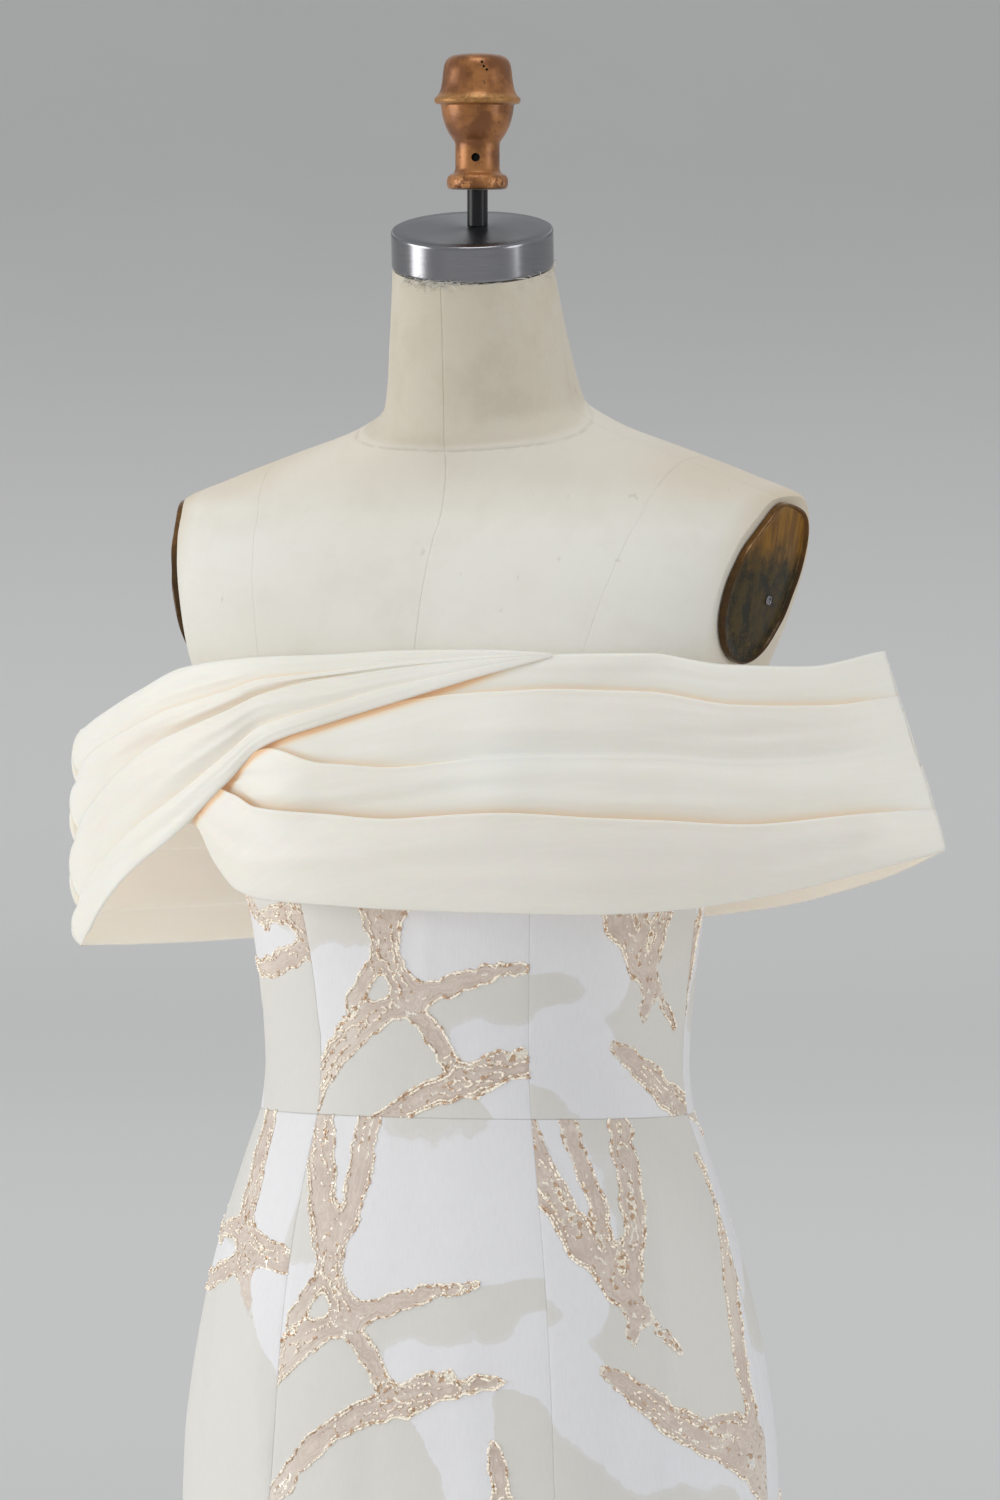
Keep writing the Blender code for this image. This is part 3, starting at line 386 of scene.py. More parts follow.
# The finial's profile, in pairs of radius and height.
FINIAL = [
    (0.0000, 0.0000), (0.0150, 0.0000), (0.0172, 0.0005), (0.0182, 0.0021), (0.0184, 0.0040),
    (0.0183, 0.0060), (0.0176, 0.0078), (0.0164, 0.0088), (0.0148, 0.0094), (0.0138, 0.0106),
    (0.0133, 0.0126), (0.0133, 0.0262), (0.0136, 0.0282), (0.0150, 0.0304), (0.0172, 0.0336),
    (0.0190, 0.0373), (0.0203, 0.0411), (0.0212, 0.0448), (0.0217, 0.0484), (0.0219, 0.0502),
    (0.0228, 0.0510), (0.0247, 0.0512), (0.0257, 0.0521), (0.0259, 0.0534), (0.0254, 0.0549),
    (0.0238, 0.0563), (0.0227, 0.0583), (0.0219, 0.0606), (0.0214, 0.0636), (0.0209, 0.0674),
    (0.0205, 0.0711), (0.0200, 0.0742), (0.0189, 0.0770), (0.0170, 0.0791), (0.0140, 0.0804),
    (0.0090, 0.0811), (0.0040, 0.0814), (0.0000, 0.0814),
]


def settings():
    """The sizes and colours that a user may change."""
    return bpy.context.scene.dress_looks


def along(rows, column, at):
    """Reads a column at any places along the table's first one, on a smooth curve that never overshoots."""
    places = np.array([row[0] for row in rows])
    values = np.array([getattr(row, column) for row in rows])
    at = np.clip(at, places[0], places[-1])
    left = np.clip(np.searchsorted(places, at, side="right") - 1, 0, len(places) - 2)
    slopes = np.diff(values) / np.diff(places)
    before, after = slopes[:-1], slopes[1:]
    same_way = before * after > 0
    middle = np.where(same_way, 2 * before * after / np.where(same_way, before + after, 1), 0.0)
    tangents = np.concatenate((slopes[:1], middle, slopes[-1:]))
    width = np.diff(places)[left]
    t = (at - places[left]) / width
    return (
        (1 + 2 * t) * (1 - t) ** 2 * values[left]
        + t * (1 - t) ** 2 * width * tangents[left]
        + t * t * (3 - 2 * t) * values[left + 1]
        + t * t * (t - 1) * width * tangents[left + 1]
    )


def ease_in(low, high, value):
    """Rises smoothly from 0 at low to 1 at high."""
    t = np.clip((value - low) / (high - low), 0.0, 1.0)
    return t * t * (3 - 2 * t)


def oval_radius(angle, half_width, front, back, power):
    depth = np.where(np.cos(angle) > 0, front, back)
    sum_of_powers = np.abs(np.cos(angle) / depth) ** power + np.abs(np.sin(angle) / half_width) ** power
    return sum_of_powers ** (-1 / power)


def figure_radius(angle, height):
    """The form's radius at an angle and a height."""
    columns = ("half_width", "front", "back", "power")
    oval = oval_radius(angle, *(along(FIGURE, column, height) for column in columns))
    sideways = (np.abs(angle) - CUP_ANGLE) / CUP_SPREAD
    rise = height - CUP_HEIGHT
    upwards = rise / np.where(rise > 0, CUP_ABOVE, CUP_BELOW)
    return oval + CUP_DEPTH * np.exp(-(sideways**2) - upwards**2)


def dress_radius(angle, height):
    """The radius of the outside of the bodice or the skirt."""
    bodice = figure_radius(angle, height) + along(BODICE_EASE, "ease", height)
    half_width, front, back, flute = (
        along(SKIRT, column, height) for column in ("half_width", "front", "back", "flute")
    )
    skirt = oval_radius(angle, half_width, front, back, SKIRT_POWER) * (1 + flute * np.cos(FLUTES * angle))
    return np.where(height >= WAIST, bodice, skirt)


def princess_seam(height):
    return np.radians(along(PRINCESS_SEAM, "degrees", height))


def bodice_top(angle):
    return along(BODICE_TOP, "height", np.abs(np.degrees(angle)))


def polar(angle, radius, height):
    """Points at these angles, radii and heights."""
    return np.stack(np.broadcast_arrays(radius * np.sin(angle), -radius * np.cos(angle), height), axis=-1)


def unit(vectors):
    return vectors / np.maximum(np.linalg.norm(vectors, axis=-1, keepdims=True), 1e-12)


def rotation_of(columns):
    """The turn, as three angles, that takes X, Y and Z to these unit vectors."""
    x, y, z = columns
    return np.stack(
        (
            np.arctan2(y[..., 2], z[..., 2]),
            np.arcsin(np.clip(-x[..., 2], -1, 1)),
            np.arctan2(x[..., 1], x[..., 0]),
        ),
        axis=-1,
    )


# Meshes


def link(obj):
    bpy.context.scene.collection.objects.link(obj)
    return obj


def add_attributes(mesh, attributes):
    """Gives the mesh's points named numbers or vectors."""
    for name, values in attributes.items():
        many = values.ndim == 2
        layer = mesh.attributes.new(name, "FLOAT_VECTOR" if many else "FLOAT", "POINT")
        layer.data.foreach_set("vector" if many else "value", values.astype(np.float32).ravel())


def quad_object(name, points, faces, finish, attributes):
    """A smooth closed object of four-cornered faces, turned outwards."""
    points = np.asarray(points, dtype=float).reshape(-1, 3)
    a, b, c, d = (points[faces[:, corner]] for corner in range(4))
    volume = np.sum(a * np.cross(b, c)) + np.sum(a * np.cross(c, d))
    if volume < 0:
        faces = faces[:, ::-1]
    mesh = bpy.data.meshes.new(name)
    mesh.vertices.add(len(points))
    mesh.vertices.foreach_set("co", points.astype(np.float32).ravel())
    mesh.loops.add(faces.size)
    mesh.loops.foreach_set("vertex_index", faces.astype(np.int32).ravel())
    mesh.polygons.add(len(faces))
    mesh.polygons.foreach_set("loop_start", np.arange(0, faces.size, 4, dtype=np.int32))
    mesh.update(calc_edges=True)
    add_attributes(mesh, attributes)
    mesh.shade_smooth()
    mesh.materials.append(finish)
    return link(bpy.data.objects.new(name, mesh))


def face_object(name, points, faces, finish, smooth_degrees=40):
    """A small closed object of any faces, turned outwards and smooth up to an angle."""
    mesh = bpy.data.meshes.new(name)
    mesh.from_pydata([tuple(p) for p in points], [], [tuple(int(k) for k in face) for face in faces])
    work = bmesh.new()
    work.from_mesh(mesh)
    bmesh.ops.recalc_face_normals(work, faces=work.faces)
    work.to_mesh(mesh)
    work.free()
    mesh.materials.append(finish)
    mesh.shade_smooth()
    mesh.set_sharp_from_angle(angle=math.radians(smooth_degrees))
    return link(bpy.data.objects.new(name, mesh))


def quads_of(index):
    """The faces between neighbours of a grid of point numbers."""
    return np.stack((index[:-1, :-1], index[:-1, 1:], index[1:, 1:], index[1:, :-1]), axis=-1).reshape(-1, 4)


def ring_index(levels, steps):
    """The point numbers of rings, with each ring's first point again at its end."""
    index = np.arange(levels * steps).reshape(levels, steps)
    return np.concatenate((index, index[:, :1]), axis=1)


def tube(name, rings, finish, smooth_degrees=40):
    """A closed object through rings of points, with one face over each end."""
    rings = np.asarray(rings, dtype=float)
    index = ring_index(*rings.shape[:2])
    faces = [*quads_of(index), index[0, :-1], index[-1, :-1]]
    return face_object(name, rings.reshape(-1, 3), faces, finish, smooth_degrees)


def cloth(name, outer, inner, finish, attributes, hidden, roundness):
    """A closed thin shell between two grids of points, with its edges rounded.

    "hidden" gives the attributes on the inner face where they aren't those of the outer one.
    """
    rows, columns = outer.shape[:2]
    count = rows * columns
    index = np.arange(count).reshape(rows, columns)
    edge = np.concatenate((index[0, :-1], index[:-1, -1], index[-1, :0:-1], index[:0:-1, 0]))
    row, column = edge // columns, edge % columns
    beside = index[np.clip(row, 1, rows - 2), np.clip(column, 1, columns - 2)]
    flat_outer, flat_inner = outer.reshape(-1, 3), inner.reshape(-1, 3)
    thickness = np.linalg.norm(flat_outer[edge] - flat_inner[edge], axis=-1, keepdims=True)
    middle = 0.5 * (flat_outer[edge] + flat_inner[edge])
    outwards = unit(flat_outer[edge] + flat_inner[edge] - flat_outer[beside] - flat_inner[beside])
    middle += 0.5 * roundness * thickness * outwards
    mid = 2 * count + np.arange(len(edge))
    after, mid_after = np.roll(edge, -1), np.roll(mid, -1)
    faces = np.concatenate(
        (
            quads_of(index),
            quads_of(index)[:, ::-1] + count,
            np.stack((after, edge, mid, mid_after), axis=-1),
            np.stack((mid_after, mid, edge + count, after + count), axis=-1),
        )
    )
    values = {}
    for key, value in attributes.items():
        flat = value.reshape(count, *value.shape[2:])
        rear = np.full_like(flat, hidden[key]) if key in hidden else flat
        values[key] = np.concatenate((flat, rear, flat[edge]))
    return quad_object(name, np.concatenate((flat_outer, flat_inner, middle)), faces, finish, values)


def run_lengths(points, axis):
    """How far each point of a grid lies along its column (axis 0) or its row (axis 1)."""
    steps = np.linalg.norm(np.diff(points, axis=axis), axis=-1)
    return np.insert(np.cumsum(steps, axis=axis), 0, 0.0, axis=axis)


def turned(name, profile, steps, finish, place, smooth_degrees=35):
    """A solid turned round an axis from pairs of radius and height, its ends on the axis."""
    angle = 2 * math.pi * np.arange(steps) / steps
    rings = [polar(angle, radius, height) for radius, height in profile[1:-1]]
    points = [(0, 0, profile[0][1]), (0, 0, profile[-1][1]), *np.concatenate(rings)]
    last = 2 + (len(rings) - 1) * steps
    faces = []
    for k in range(steps):
        after = (k + 1) % steps
        faces += [(0, 2 + k, 2 + after), (1, last + k, last + after)]
        for low in range(2, last, steps):
            faces.append((low + k, low + after, low + steps + after, low + steps + k))
    obj = face_object(name, points, faces, finish, smooth_degrees)
    obj.data.transform(place)
    return obj


def finished_mesh(obj, smooth_degrees):
    """Replaces the object's mesh by what its modifiers make of it, smooth up to an angle."""
    bpy.context.view_layer.update()
    made = bpy.data.meshes.new_from_object(obj.evaluated_get(bpy.context.evaluated_depsgraph_get()))
    obj.modifiers.clear()
    obj.data = made
    made.shade_smooth()
    made.set_sharp_from_angle(angle=math.radians(smooth_degrees))


def cut(obj, cutter):
    """Cuts the second object out of the first, and removes the second."""
    modifier = obj.modifiers.new("Cut", "BOOLEAN")
    modifier.operation = "DIFFERENCE"
    modifier.object = cutter
    modifier.solver = "EXACT"
    finished_mesh(obj, 40)
    bpy.data.objects.remove(cutter, do_unlink=True)


def bevel(obj, width, segments=3):
    modifier = obj.modifiers.new("Rounded edges", "BEVEL")
    modifier.width = width
    modifier.segments = segments
    modifier.limit_method = "ANGLE"
    modifier.angle_limit = math.radians(35)
    finished_mesh(obj, 50)


# Repeats, by Geometry Nodes


def new_node(tree, kind, **values):
    made = tree.nodes.new(kind)
    for key, value in values.items():
        setattr(made, key, value)
    return made


def repeat_tree():
    """A node tree that sets a piece on each point, turned by the points' own attribute and sized at random.
    """
    tree = bpy.data.node_groups.get("Repeat a piece")
    if tree:
        return tree
    tree = bpy.data.node_groups.new("Repeat a piece", "GeometryNodeTree")
    sockets = (
        ("Geometry", "INPUT", "Geometry", None),
        ("Piece", "INPUT", "Object", None),
        ("Size", "INPUT", "Float", 1.0),
        ("Size spread", "INPUT", "Float", 0.3),
        ("Seed", "INPUT", "Int", 0),
        ("Finish", "INPUT", "Material", None),
        ("Geometry", "OUTPUT", "Geometry", None),
    )
    for name, way, kind, value in sockets:
        socket = tree.interface.new_socket(name, in_out=way, socket_type=f"NodeSocket{kind}")
        if value is not None:
            socket.default_value = value

    def add(kind, **values):
        return new_node(tree, kind, **values)

    entry, leave = add("NodeGroupInput"), add("NodeGroupOutput")
    piece = add("GeometryNodeObjectInfo")
    turn = add("GeometryNodeInputNamedAttribute", data_type="FLOAT_VECTOR")
    turn.inputs["Name"].default_value = "turn"
    least = add("ShaderNodeMath", operation="SUBTRACT")
    most = add("ShaderNodeMath", operation="ADD")
    chance = add("FunctionNodeRandomValue", data_type="FLOAT")
    on_points = add("GeometryNodeInstanceOnPoints")
    realize = add("GeometryNodeRealizeInstances")
    material = add("GeometryNodeSetMaterial")
    wires = (
        (entry, "Piece", piece, "Object"),
        (entry, "Size", least, 0),
        (entry, "Size spread", least, 1),
        (entry, "Size", most, 0),
        (entry, "Size spread", most, 1),
        (least, 0, chance, 2),
        (most, 0, chance, 3),
        (entry, "Seed", chance, "Seed"),
        (entry, "Geometry", on_points, "Points"),
        (piece, "Geometry", on_points, "Instance"),
        (turn, "Attribute", on_points, "Rotation"),
        (chance, 1, on_points, "Scale"),
        (on_points, "Instances", realize, "Geometry"),
        (realize, "Geometry", material, "Geometry"),
        (entry, "Finish", material, "Material"),
        (material, "Geometry", leave, "Geometry"),
    )
    for start, output, end, socket in wires:
        tree.links.new(start.outputs[output], end.inputs[socket])
    return tree


def repeat(name, piece, places, columns, finish, spread, seed):
    """One mesh with the piece at every place. The columns are where its X, Y and Z point there."""
    carrier = bpy.data.meshes.new(name)
    carrier.vertices.add(len(places))
    carrier.vertices.foreach_set("co", np.asarray(places, dtype=np.float32).ravel())
    add_attributes(carrier, {"turn": rotation_of(columns)})
    obj = link(bpy.data.objects.new(name, carrier))
    tree = repeat_tree()
    modifier = obj.modifiers.new("Repeats", "NODES")
    modifier.node_group = tree
    inputs = {"Piece": piece, "Size": 1.0, "Size spread": spread, "Seed": seed, "Finish": finish}
    for item in tree.interface.items_tree:
        if item.in_out == "INPUT" and item.name in inputs:
            modifier[item.identifier] = inputs[item.name]
    finished_mesh(obj, 180)
    bpy.data.objects.remove(piece, do_unlink=True)
    leftover = obj.data.attributes.get("turn")
    if leftover:
        obj.data.attributes.remove(leftover)
    return obj


def strand_piece(name, length, thickness, arch, finish, segments):
    """A short bowed length of thread along X, three-sided, standing on Z."""
    rings = []
    for k in range(segments + 1):
        share = k / segments
        rise = arch * math.sin(math.pi * share)
        size = thickness * (0.35 + 0.65 * math.sin(math.pi * min(max(share, 0.08), 0.92)))
        for corner in range(3):
            a = 2 * math.pi * corner / 3 + 0.5 * math.pi
            rings.append((length * (share - 0.5), size * math.cos(a), rise + size * math.sin(a)))
    faces = [(0, 1, 2), (3 * segments, 3 * segments + 2, 3 * segments + 1)]
    for k in range(segments):
        for corner in range(3):
            a, b = 3 * k + corner, 3 * k + (corner + 1) % 3
            faces.append((a, a + 3, b + 3, b))
    return face_object(name, rings, faces, finish, 180)


def spindle_piece(name, length, thickness, arch, finish):
    """A short float of thread along X, pointed at both ends, standing on Z."""
    points = [(-0.5 * length, 0, 0), (0.5 * length, 0, 0), (0, thickness, arch), (0, 0, arch + thickness)]
    points += [(0, -thickness, arch), (0, 0, arch - thickness)]
    faces = [(end, 2 + k, 2 + (k + 1) % 4) for end in (0, 1) for k in range(4)]
    return face_object(name, points, faces, finish, 180)


# Materials


class Recipe:
    """Builds a material from plain calls. Each call gives a socket that the next ones may use."""

    def __init__(self, name, colour, roughness, metallic=0.0, **uniform):
        self.made = bpy.data.materials.new(name)
        self.made.use_nodes = True
        self.tree = self.made.node_tree
        self.shader = self.tree.nodes["Principled BSDF"]
        self.shader.inputs["Base Color"].default_value = (*colour, 1.0)
        self.shader.inputs["Roughness"].default_value = roughness
        self.shader.inputs["Metallic"].default_value = metallic
        for key, value in uniform.items():
            self.shader.inputs[key.replace("_", " ").title().replace("Ior", "IOR")].default_value = value
        self.place = self.add("ShaderNodeTexCoord").outputs["Object"]

    def add(self, kind, **values):
        return new_node(self.tree, kind, **values)

    def feed(self, socket, value):
        if isinstance(value, NodeSocket):
            self.tree.links.new(value, socket)
        else:
            socket.default_value = value

    def math(self, operation, a, b=0.0, c=0.0):
        made = self.add("ShaderNodeMath", operation=operation)
        for socket, value in zip(made.inputs, (a, b, c)):
            self.feed(socket, value)
        return made.outputs[0]

    def chain(self, operation, parts):
        result, *others = parts
        for part in others:
            result = self.math(operation, result, part)
        return result

    def total(self, *parts):
        return self.chain("ADD", parts)

    def product(self, *parts):
        return self.chain("MULTIPLY", parts)

    def most(self, *parts):
        return self.chain("MAXIMUM", parts)

    def less(self, a, b):
        return self.math("SUBTRACT", a, b)

    def line(self, value, slope, start):
        """The value times a slope, and a start added."""
        return self.math("MULTIPLY_ADD", value, slope, start)

    def step(self, low, high, value):
        """Rises smoothly from 0 at low to 1 at high. Low may be the greater."""
        made = self.add("ShaderNodeMapRange", interpolation_type="SMOOTHSTEP")
        for key, given in (("Value", value), ("From Min", low), ("From Max", high)):
            self.feed(made.inputs[key], given)
        return made.outputs["Result"]

    def near(self, value, centre, reach):
        """1 where the value is the centre, falling to 0 at the reach on both sides."""
        return self.step(reach, 0.0, self.math("ABSOLUTE", self.less(value, centre)))

    def mix(self, factor, a, b):
        made = self.add("ShaderNodeMix", data_type="RGBA")
        for index, value in ((0, factor), (6, a), (7, b)):
            if not isinstance(value, NodeSocket) and index:
                value = (*value, 1.0)
            self.feed(made.inputs[index], value)
        return made.outputs[2]

    def tint(self, colour, other, *shares):
        """Mixes another colour in, by the product of the shares."""
        return self.mix(self.product(*shares), colour, other)

    def scaled(self, vector, x, y, z):
        made = self.add("ShaderNodeVectorMath", operation="MULTIPLY")
        self.feed(made.inputs[0], vector)
        made.inputs[1].default_value = (x, y, z)
        return made.outputs[0]

    def noise(self, vector, scale, detail=2.0, roughness=0.5):
        made = self.add("ShaderNodeTexNoise")
        keys = (("Vector", vector), ("Scale", scale), ("Detail", detail), ("Roughness", roughness))
        for key, value in keys:
            self.feed(made.inputs[key], value)
        return made.outputs[0]

    def cells(self, vector, scale):
        """The distance to each cell's middle, and a chance number for each cell."""
        made = self.add("ShaderNodeTexVoronoi")
        self.feed(made.inputs["Vector"], vector)
        made.inputs["Scale"].default_value = scale
        return made.outputs["Distance"], self.parts(made.outputs["Color"])[0]

    def parts(self, vector):
        made = self.add("ShaderNodeSeparateXYZ")
        self.feed(made.inputs[0], vector)
        return made.outputs[0], made.outputs[1], made.outputs[2]

    def attribute(self, name, output="Fac"):
        return self.add("ShaderNodeAttribute", attribute_name=name).outputs[output]

    def facing_up(self):
        return self.parts(self.add("ShaderNodeNewGeometry").outputs["Normal"])[2]

    def wave(self, value, period):
        """A wave from 0 to 1 along the value."""
        return self.line(self.math("SINE", self.product(value, 2 * math.pi / period)), 0.5, 0.5)

    def bump(self, *reliefs):
        """Raises the surface by the sum of these reliefs. Each is a share or more, and a height in metres."""
        made = self.add("ShaderNodeBump")
        made.inputs["Strength"].default_value = 1.0
        made.inputs["Distance"].default_value = 1.0
        self.feed(made.inputs["Height"], self.total(*(self.product(*relief) for relief in reliefs)))
        self.tree.links.new(made.outputs["Normal"], self.shader.inputs["Normal"])

    def use(self, **sockets):
        for key, value in sockets.items():
            self.feed(self.shader.inputs[key.replace("_", " ").title()], value)
        return self.made


def jacquard_finish():
    """White and cream-grey ground, rose-beige bands, and metallic threads along the bands' edges."""
    looks = settings()
    m = Recipe("brocade_cloth", looks.ground_colour, 0.55, Sheen_weight=0.12, Sheen_roughness=0.5)
    lie = m.attribute("cloth", "Vector")
    band, tone, knot = (m.attribute(name) for name in ("band", "tone", "knot"))
    u, v, _ = m.parts(lie)
    ragged = m.line(m.noise(lie, 300.0, 3.0, 0.6), 0.0030, -0.0015)
    edge = m.total(band, ragged)
    inside = m.step(0.0004, -0.0004, edge)
    _, chance = m.cells(lie, 430.0)
    bead_distance, bead_chance = m.cells(lie, 620.0)

    def line_of(distance, half_width, low, high, scale, detail=2.0):
        """A broken line at a distance from the bands' edges."""
        return m.product(m.near(edge, distance, half_width), m.step(low, high, m.noise(lie, scale, detail)))

    slow = m.noise(lie, 26.0, 2.0)
    torn = m.line(m.noise(lie, 60.0, 4.0, 0.6), 0.16, -0.08)
    ground_mask = m.step(-0.05, 0.05, m.total(tone, torn, m.line(slow, 0.50, -0.25)))
    patch = m.noise(lie, 90.0, 3.0)
    ground = m.mix(ground_mask, looks.ground_shade_colour, looks.ground_colour)
    thread_tint = m.step(0.30, 0.75, m.noise(m.scaled(lie, 1.0, 0.12, 1.0), 900.0, 1.0))
    ground = m.tint(ground, (0.60, 0.585, 0.56), thread_tint, 0.10)
    ground = m.tint(ground, (0.42, 0.39, 0.36), m.near(ground_mask, 0.5, 0.30), 0.10)
    floats = m.product(
        m.step(0.80, 0.90, m.noise(m.scaled(lie, 1.0, 0.10, 1.0), 330.0, 1.0)),
        m.step(0.52, 0.60, m.noise(lie, 21.0, 1.0)),
    )
    ground = m.tint(ground, (0.95, 0.94, 0.90), floats, 0.7)

    stripes = m.wave(m.total(edge, m.product(m.noise(lie, 120.0, 2.0), 0.003)), 0.0021)
    band_shade = m.total(m.product(stripes, 0.22), m.product(m.noise(lie, 70.0, 4.0, 0.6), 0.9))
    band_colour = m.mix(m.step(0.25, 0.95, band_shade), looks.band_dark_colour, looks.band_colour)
    pale = m.step(0.50, 0.62, m.noise(lie, 7.0, 1.0))
    band_colour = m.tint(band_colour, (0.83, 0.76, 0.67), pale, 0.55)
    contour = line_of(-0.0026, 0.0006, 0.42, 0.52, 34.0, 1.0)
    band_colour = m.tint(band_colour, (0.40, 0.28, 0.20), contour, 0.25)
    colour = m.mix(inside, ground, band_colour)

    on_edge = line_of(0.0002, 0.0013, 0.36, 0.44, 17.0)
    inner_line = line_of(-0.0044, 0.0010, 0.50, 0.56, 15.0)
    cluster = m.product(m.step(0.25, 0.8, knot), inside, m.step(0.55, 0.66, m.noise(lie, 230.0, 2.0)))
    metal = m.step(0.30, 0.55, m.most(on_edge, inner_line, cluster))
    # Painted shadow: a broken copper-brown line just outside the bands' edges stands in for the shade of the
    # raised edge and its floats.
    edge_shadow_line = line_of(0.0009, 0.0006, 0.42, 0.60, 60.0)
    bright = m.step(0.28, 0.32, chance)
    thread_colour = m.mix(bright, looks.copper_thread_colour, looks.thread_colour)
    colour = m.tint(colour, (0.42, 0.29, 0.20), edge_shadow_line, 0.20)
    colour = m.mix(metal, colour, thread_colour)
    bead = m.product(metal, m.step(0.60, 0.15, bead_distance))
    weave = m.wave(m.total(u, v), 0.0011)
    m.bump(
        (inside, 0.00022),
        (bead, 0.00045),
        (metal, bead_chance, 0.00025),
        (stripes, inside, 0.00006),
        (weave, 0.000022),
        (patch, 0.00030),
        (m.noise(lie, 20.0, 2.0), 0.0016),
    )
    return m.use(Base_Color=colour, Metallic=m.product(metal, 0.25), Roughness=m.line(metal, -0.28, 0.58))


def satin_finish():
    """Ivory satin of fine crossed threads, warmer where the folds close on themselves: painted warm light and
    shade, with a painted glow on its inside.
    """
    looks = settings()
    sheen = {"Sheen_weight": 0.20, "Sheen_roughness": 0.45}
    depth = {"Subsurface_weight": 0.30, "Subsurface_scale": 0.006}
    m = Recipe("ivory_satin_cloth", looks.drape_colour, 0.50, **sheen, **depth)
    m.shader.inputs["Subsurface Radius"].default_value = (1.0, 0.62, 0.35)
    fold = m.attribute("fold")
    lie = m.attribute("cloth", "Vector")
    u, v, _ = m.parts(lie)
    slub = m.noise(m.scaled(lie, 0.10, 1.0, 1.0), 300.0, 3.0, 0.6)
    cloud = m.noise(lie, 9.0, 3.0)
    colour = m.mix(m.step(0.35, 0.75, cloud), looks.drape_shade_colour, looks.drape_colour)
    colour = m.tint(colour, (0.98, 0.96, 0.90), m.step(0.45, 0.75, slub), 0.16)
    # Painted warm light and shade in the folds, standing in for light that comes through the cloth.
    glow = m.mix(m.step(0.35, 0.9, fold), looks.glow_colour, looks.deep_glow_colour)
    colour = m.mix(m.step(0.04, 0.75, fold), colour, glow)
    # The inside face is tinted warm and made to glow: painted light through the cloth.
    inside = m.attribute("inside")
    colour = m.tint(colour, looks.glow_colour, inside, 0.12)
    m.bump(
        (m.wave(u, 0.00075), 0.000012),
        (m.wave(v, 0.00062), 0.000016),
        (slub, 0.00005),
        (m.noise(m.scaled(lie, 0.35, 1.0, 1.0), 32.0, 3.0), 0.0006),
    )
    # The emission is painted light: a glow in the folds and over the inside, though the cloth is no lamp.
    light = m.mix(inside, looks.glow_colour, (1.0, 0.90, 0.80))
    strength = m.product(m.total(inside, m.product(m.step(0.2, 1.0, fold), 0.9)), looks.cloth_glow)
    return m.use(Base_Color=colour, Emission_Color=light, Emission_Strength=strength)


def linen_finish():
    """Cream linen cover with its seams, its weave, and the marks of long use."""
    looks = settings()
    m = Recipe("aged_linen", looks.linen_colour, 0.88, Sheen_weight=0.10, Sheen_roughness=0.6)
    x, y, z = m.parts(m.place)
    aside = m.math("ABSOLUTE", x)
    front = m.step(0.02, 0.0, y)
    wobble = m.line(m.noise(m.place, 30.0, 2.0), 0.0014, -0.0007)
    centre = m.product(m.near(m.total(x, wobble), 0.0, 0.0009), m.step(1.20, 1.21, z))
    princess_line = m.line(m.less(z, 1.3166), 0.24, 0.105)
    princess = m.near(m.total(m.less(aside, princess_line), wobble), 0.0, 0.0008)
    princess = m.product(princess, m.step(1.455, 1.45, z))
    neck_height = m.line(y, 0.33, 1.4512)
    above_neck = m.less(z, m.total(neck_height, wobble))
    near_neck = m.step(0.090, 0.078, aside)
    neck = m.product(m.near(above_neck, 0.0, 0.0011), near_neck)
    shoulder = m.product(m.near(m.total(y, wobble), 0.006, 0.0009), m.step(1.35, 1.36, z))
    seams = m.most(centre, neck, m.product(m.most(princess, shoulder), 0.7))
    upper = m.product(m.step(0.0, 0.006, above_neck), near_neck)

    weave = m.most(m.wave(z, 0.0011), m.product(m.wave(x, 0.0011), 0.9))
    slub = m.noise(m.scaled(m.place, 1.0, 1.0, 0.25), 700.0, 2.0)
    flecks = m.step(0.715, 0.76, m.noise(m.scaled(m.place, 1.0, 1.0, 0.45), 95.0, 2.0, 0.6))
    stain = m.step(0.50, 0.74, m.noise(m.place, 8.0, 4.0, 0.55))
    high = m.step(1.375, 1.43, z)
    at_edge = m.step(0.165, 0.198, aside)
    cloud = m.step(0.35, 0.65, m.noise(m.place, 5.0, 2.0))
    colour = m.mix(cloud, looks.linen_colour, looks.linen_shade_colour)
    colour = m.tint(colour, (0.585, 0.555, 0.465), upper, 0.66)
    colour = m.tint(colour, (0.52, 0.46, 0.35), stain, 0.24)
    foxing = m.step(0.44, 0.70, m.noise(m.place, 34.0, 5.0, 0.65))
    colour = m.tint(colour, (0.44, 0.38, 0.27), foxing, m.line(upper, 0.16, 0.07))
    colour = m.tint(colour, (0.56, 0.44, 0.28), m.most(m.product(high, 0.45), at_edge), 0.60)
    colour = m.tint(colour, (0.36, 0.29, 0.20), flecks, 0.22)
    upwards = m.step(0.45, 0.85, m.facing_up())
    colour = m.tint(colour, (0.62, 0.46, 0.27), upwards, high, m.step(0.090, 0.150, aside), 0.22)
    colour = m.tint(colour, (0.80, 0.78, 0.70), m.step(0.45, 0.8, slub), 0.05)
    worn = m.step(0.35, 0.70, m.noise(m.scaled(m.place, 1.0, 1.0, 0.7), 120.0, 3.0))
    colour = m.tint(colour, (0.34, 0.27, 0.18), seams, m.line(worn, 0.24, 0.02), m.line(high, 0.60, 0.40))
    m.bump(
        (weave, 0.00005),
        (slub, 0.00004),
        (seams, -0.00025),
        (m.near(above_neck, 0.0022, 0.0022), near_neck, 0.0004),
        (m.noise(m.scaled(m.place, 1.0, 1.0, 0.35), 38.0, 3.0), front, 0.0008),
    )
    return m.use(Base_Color=colour)


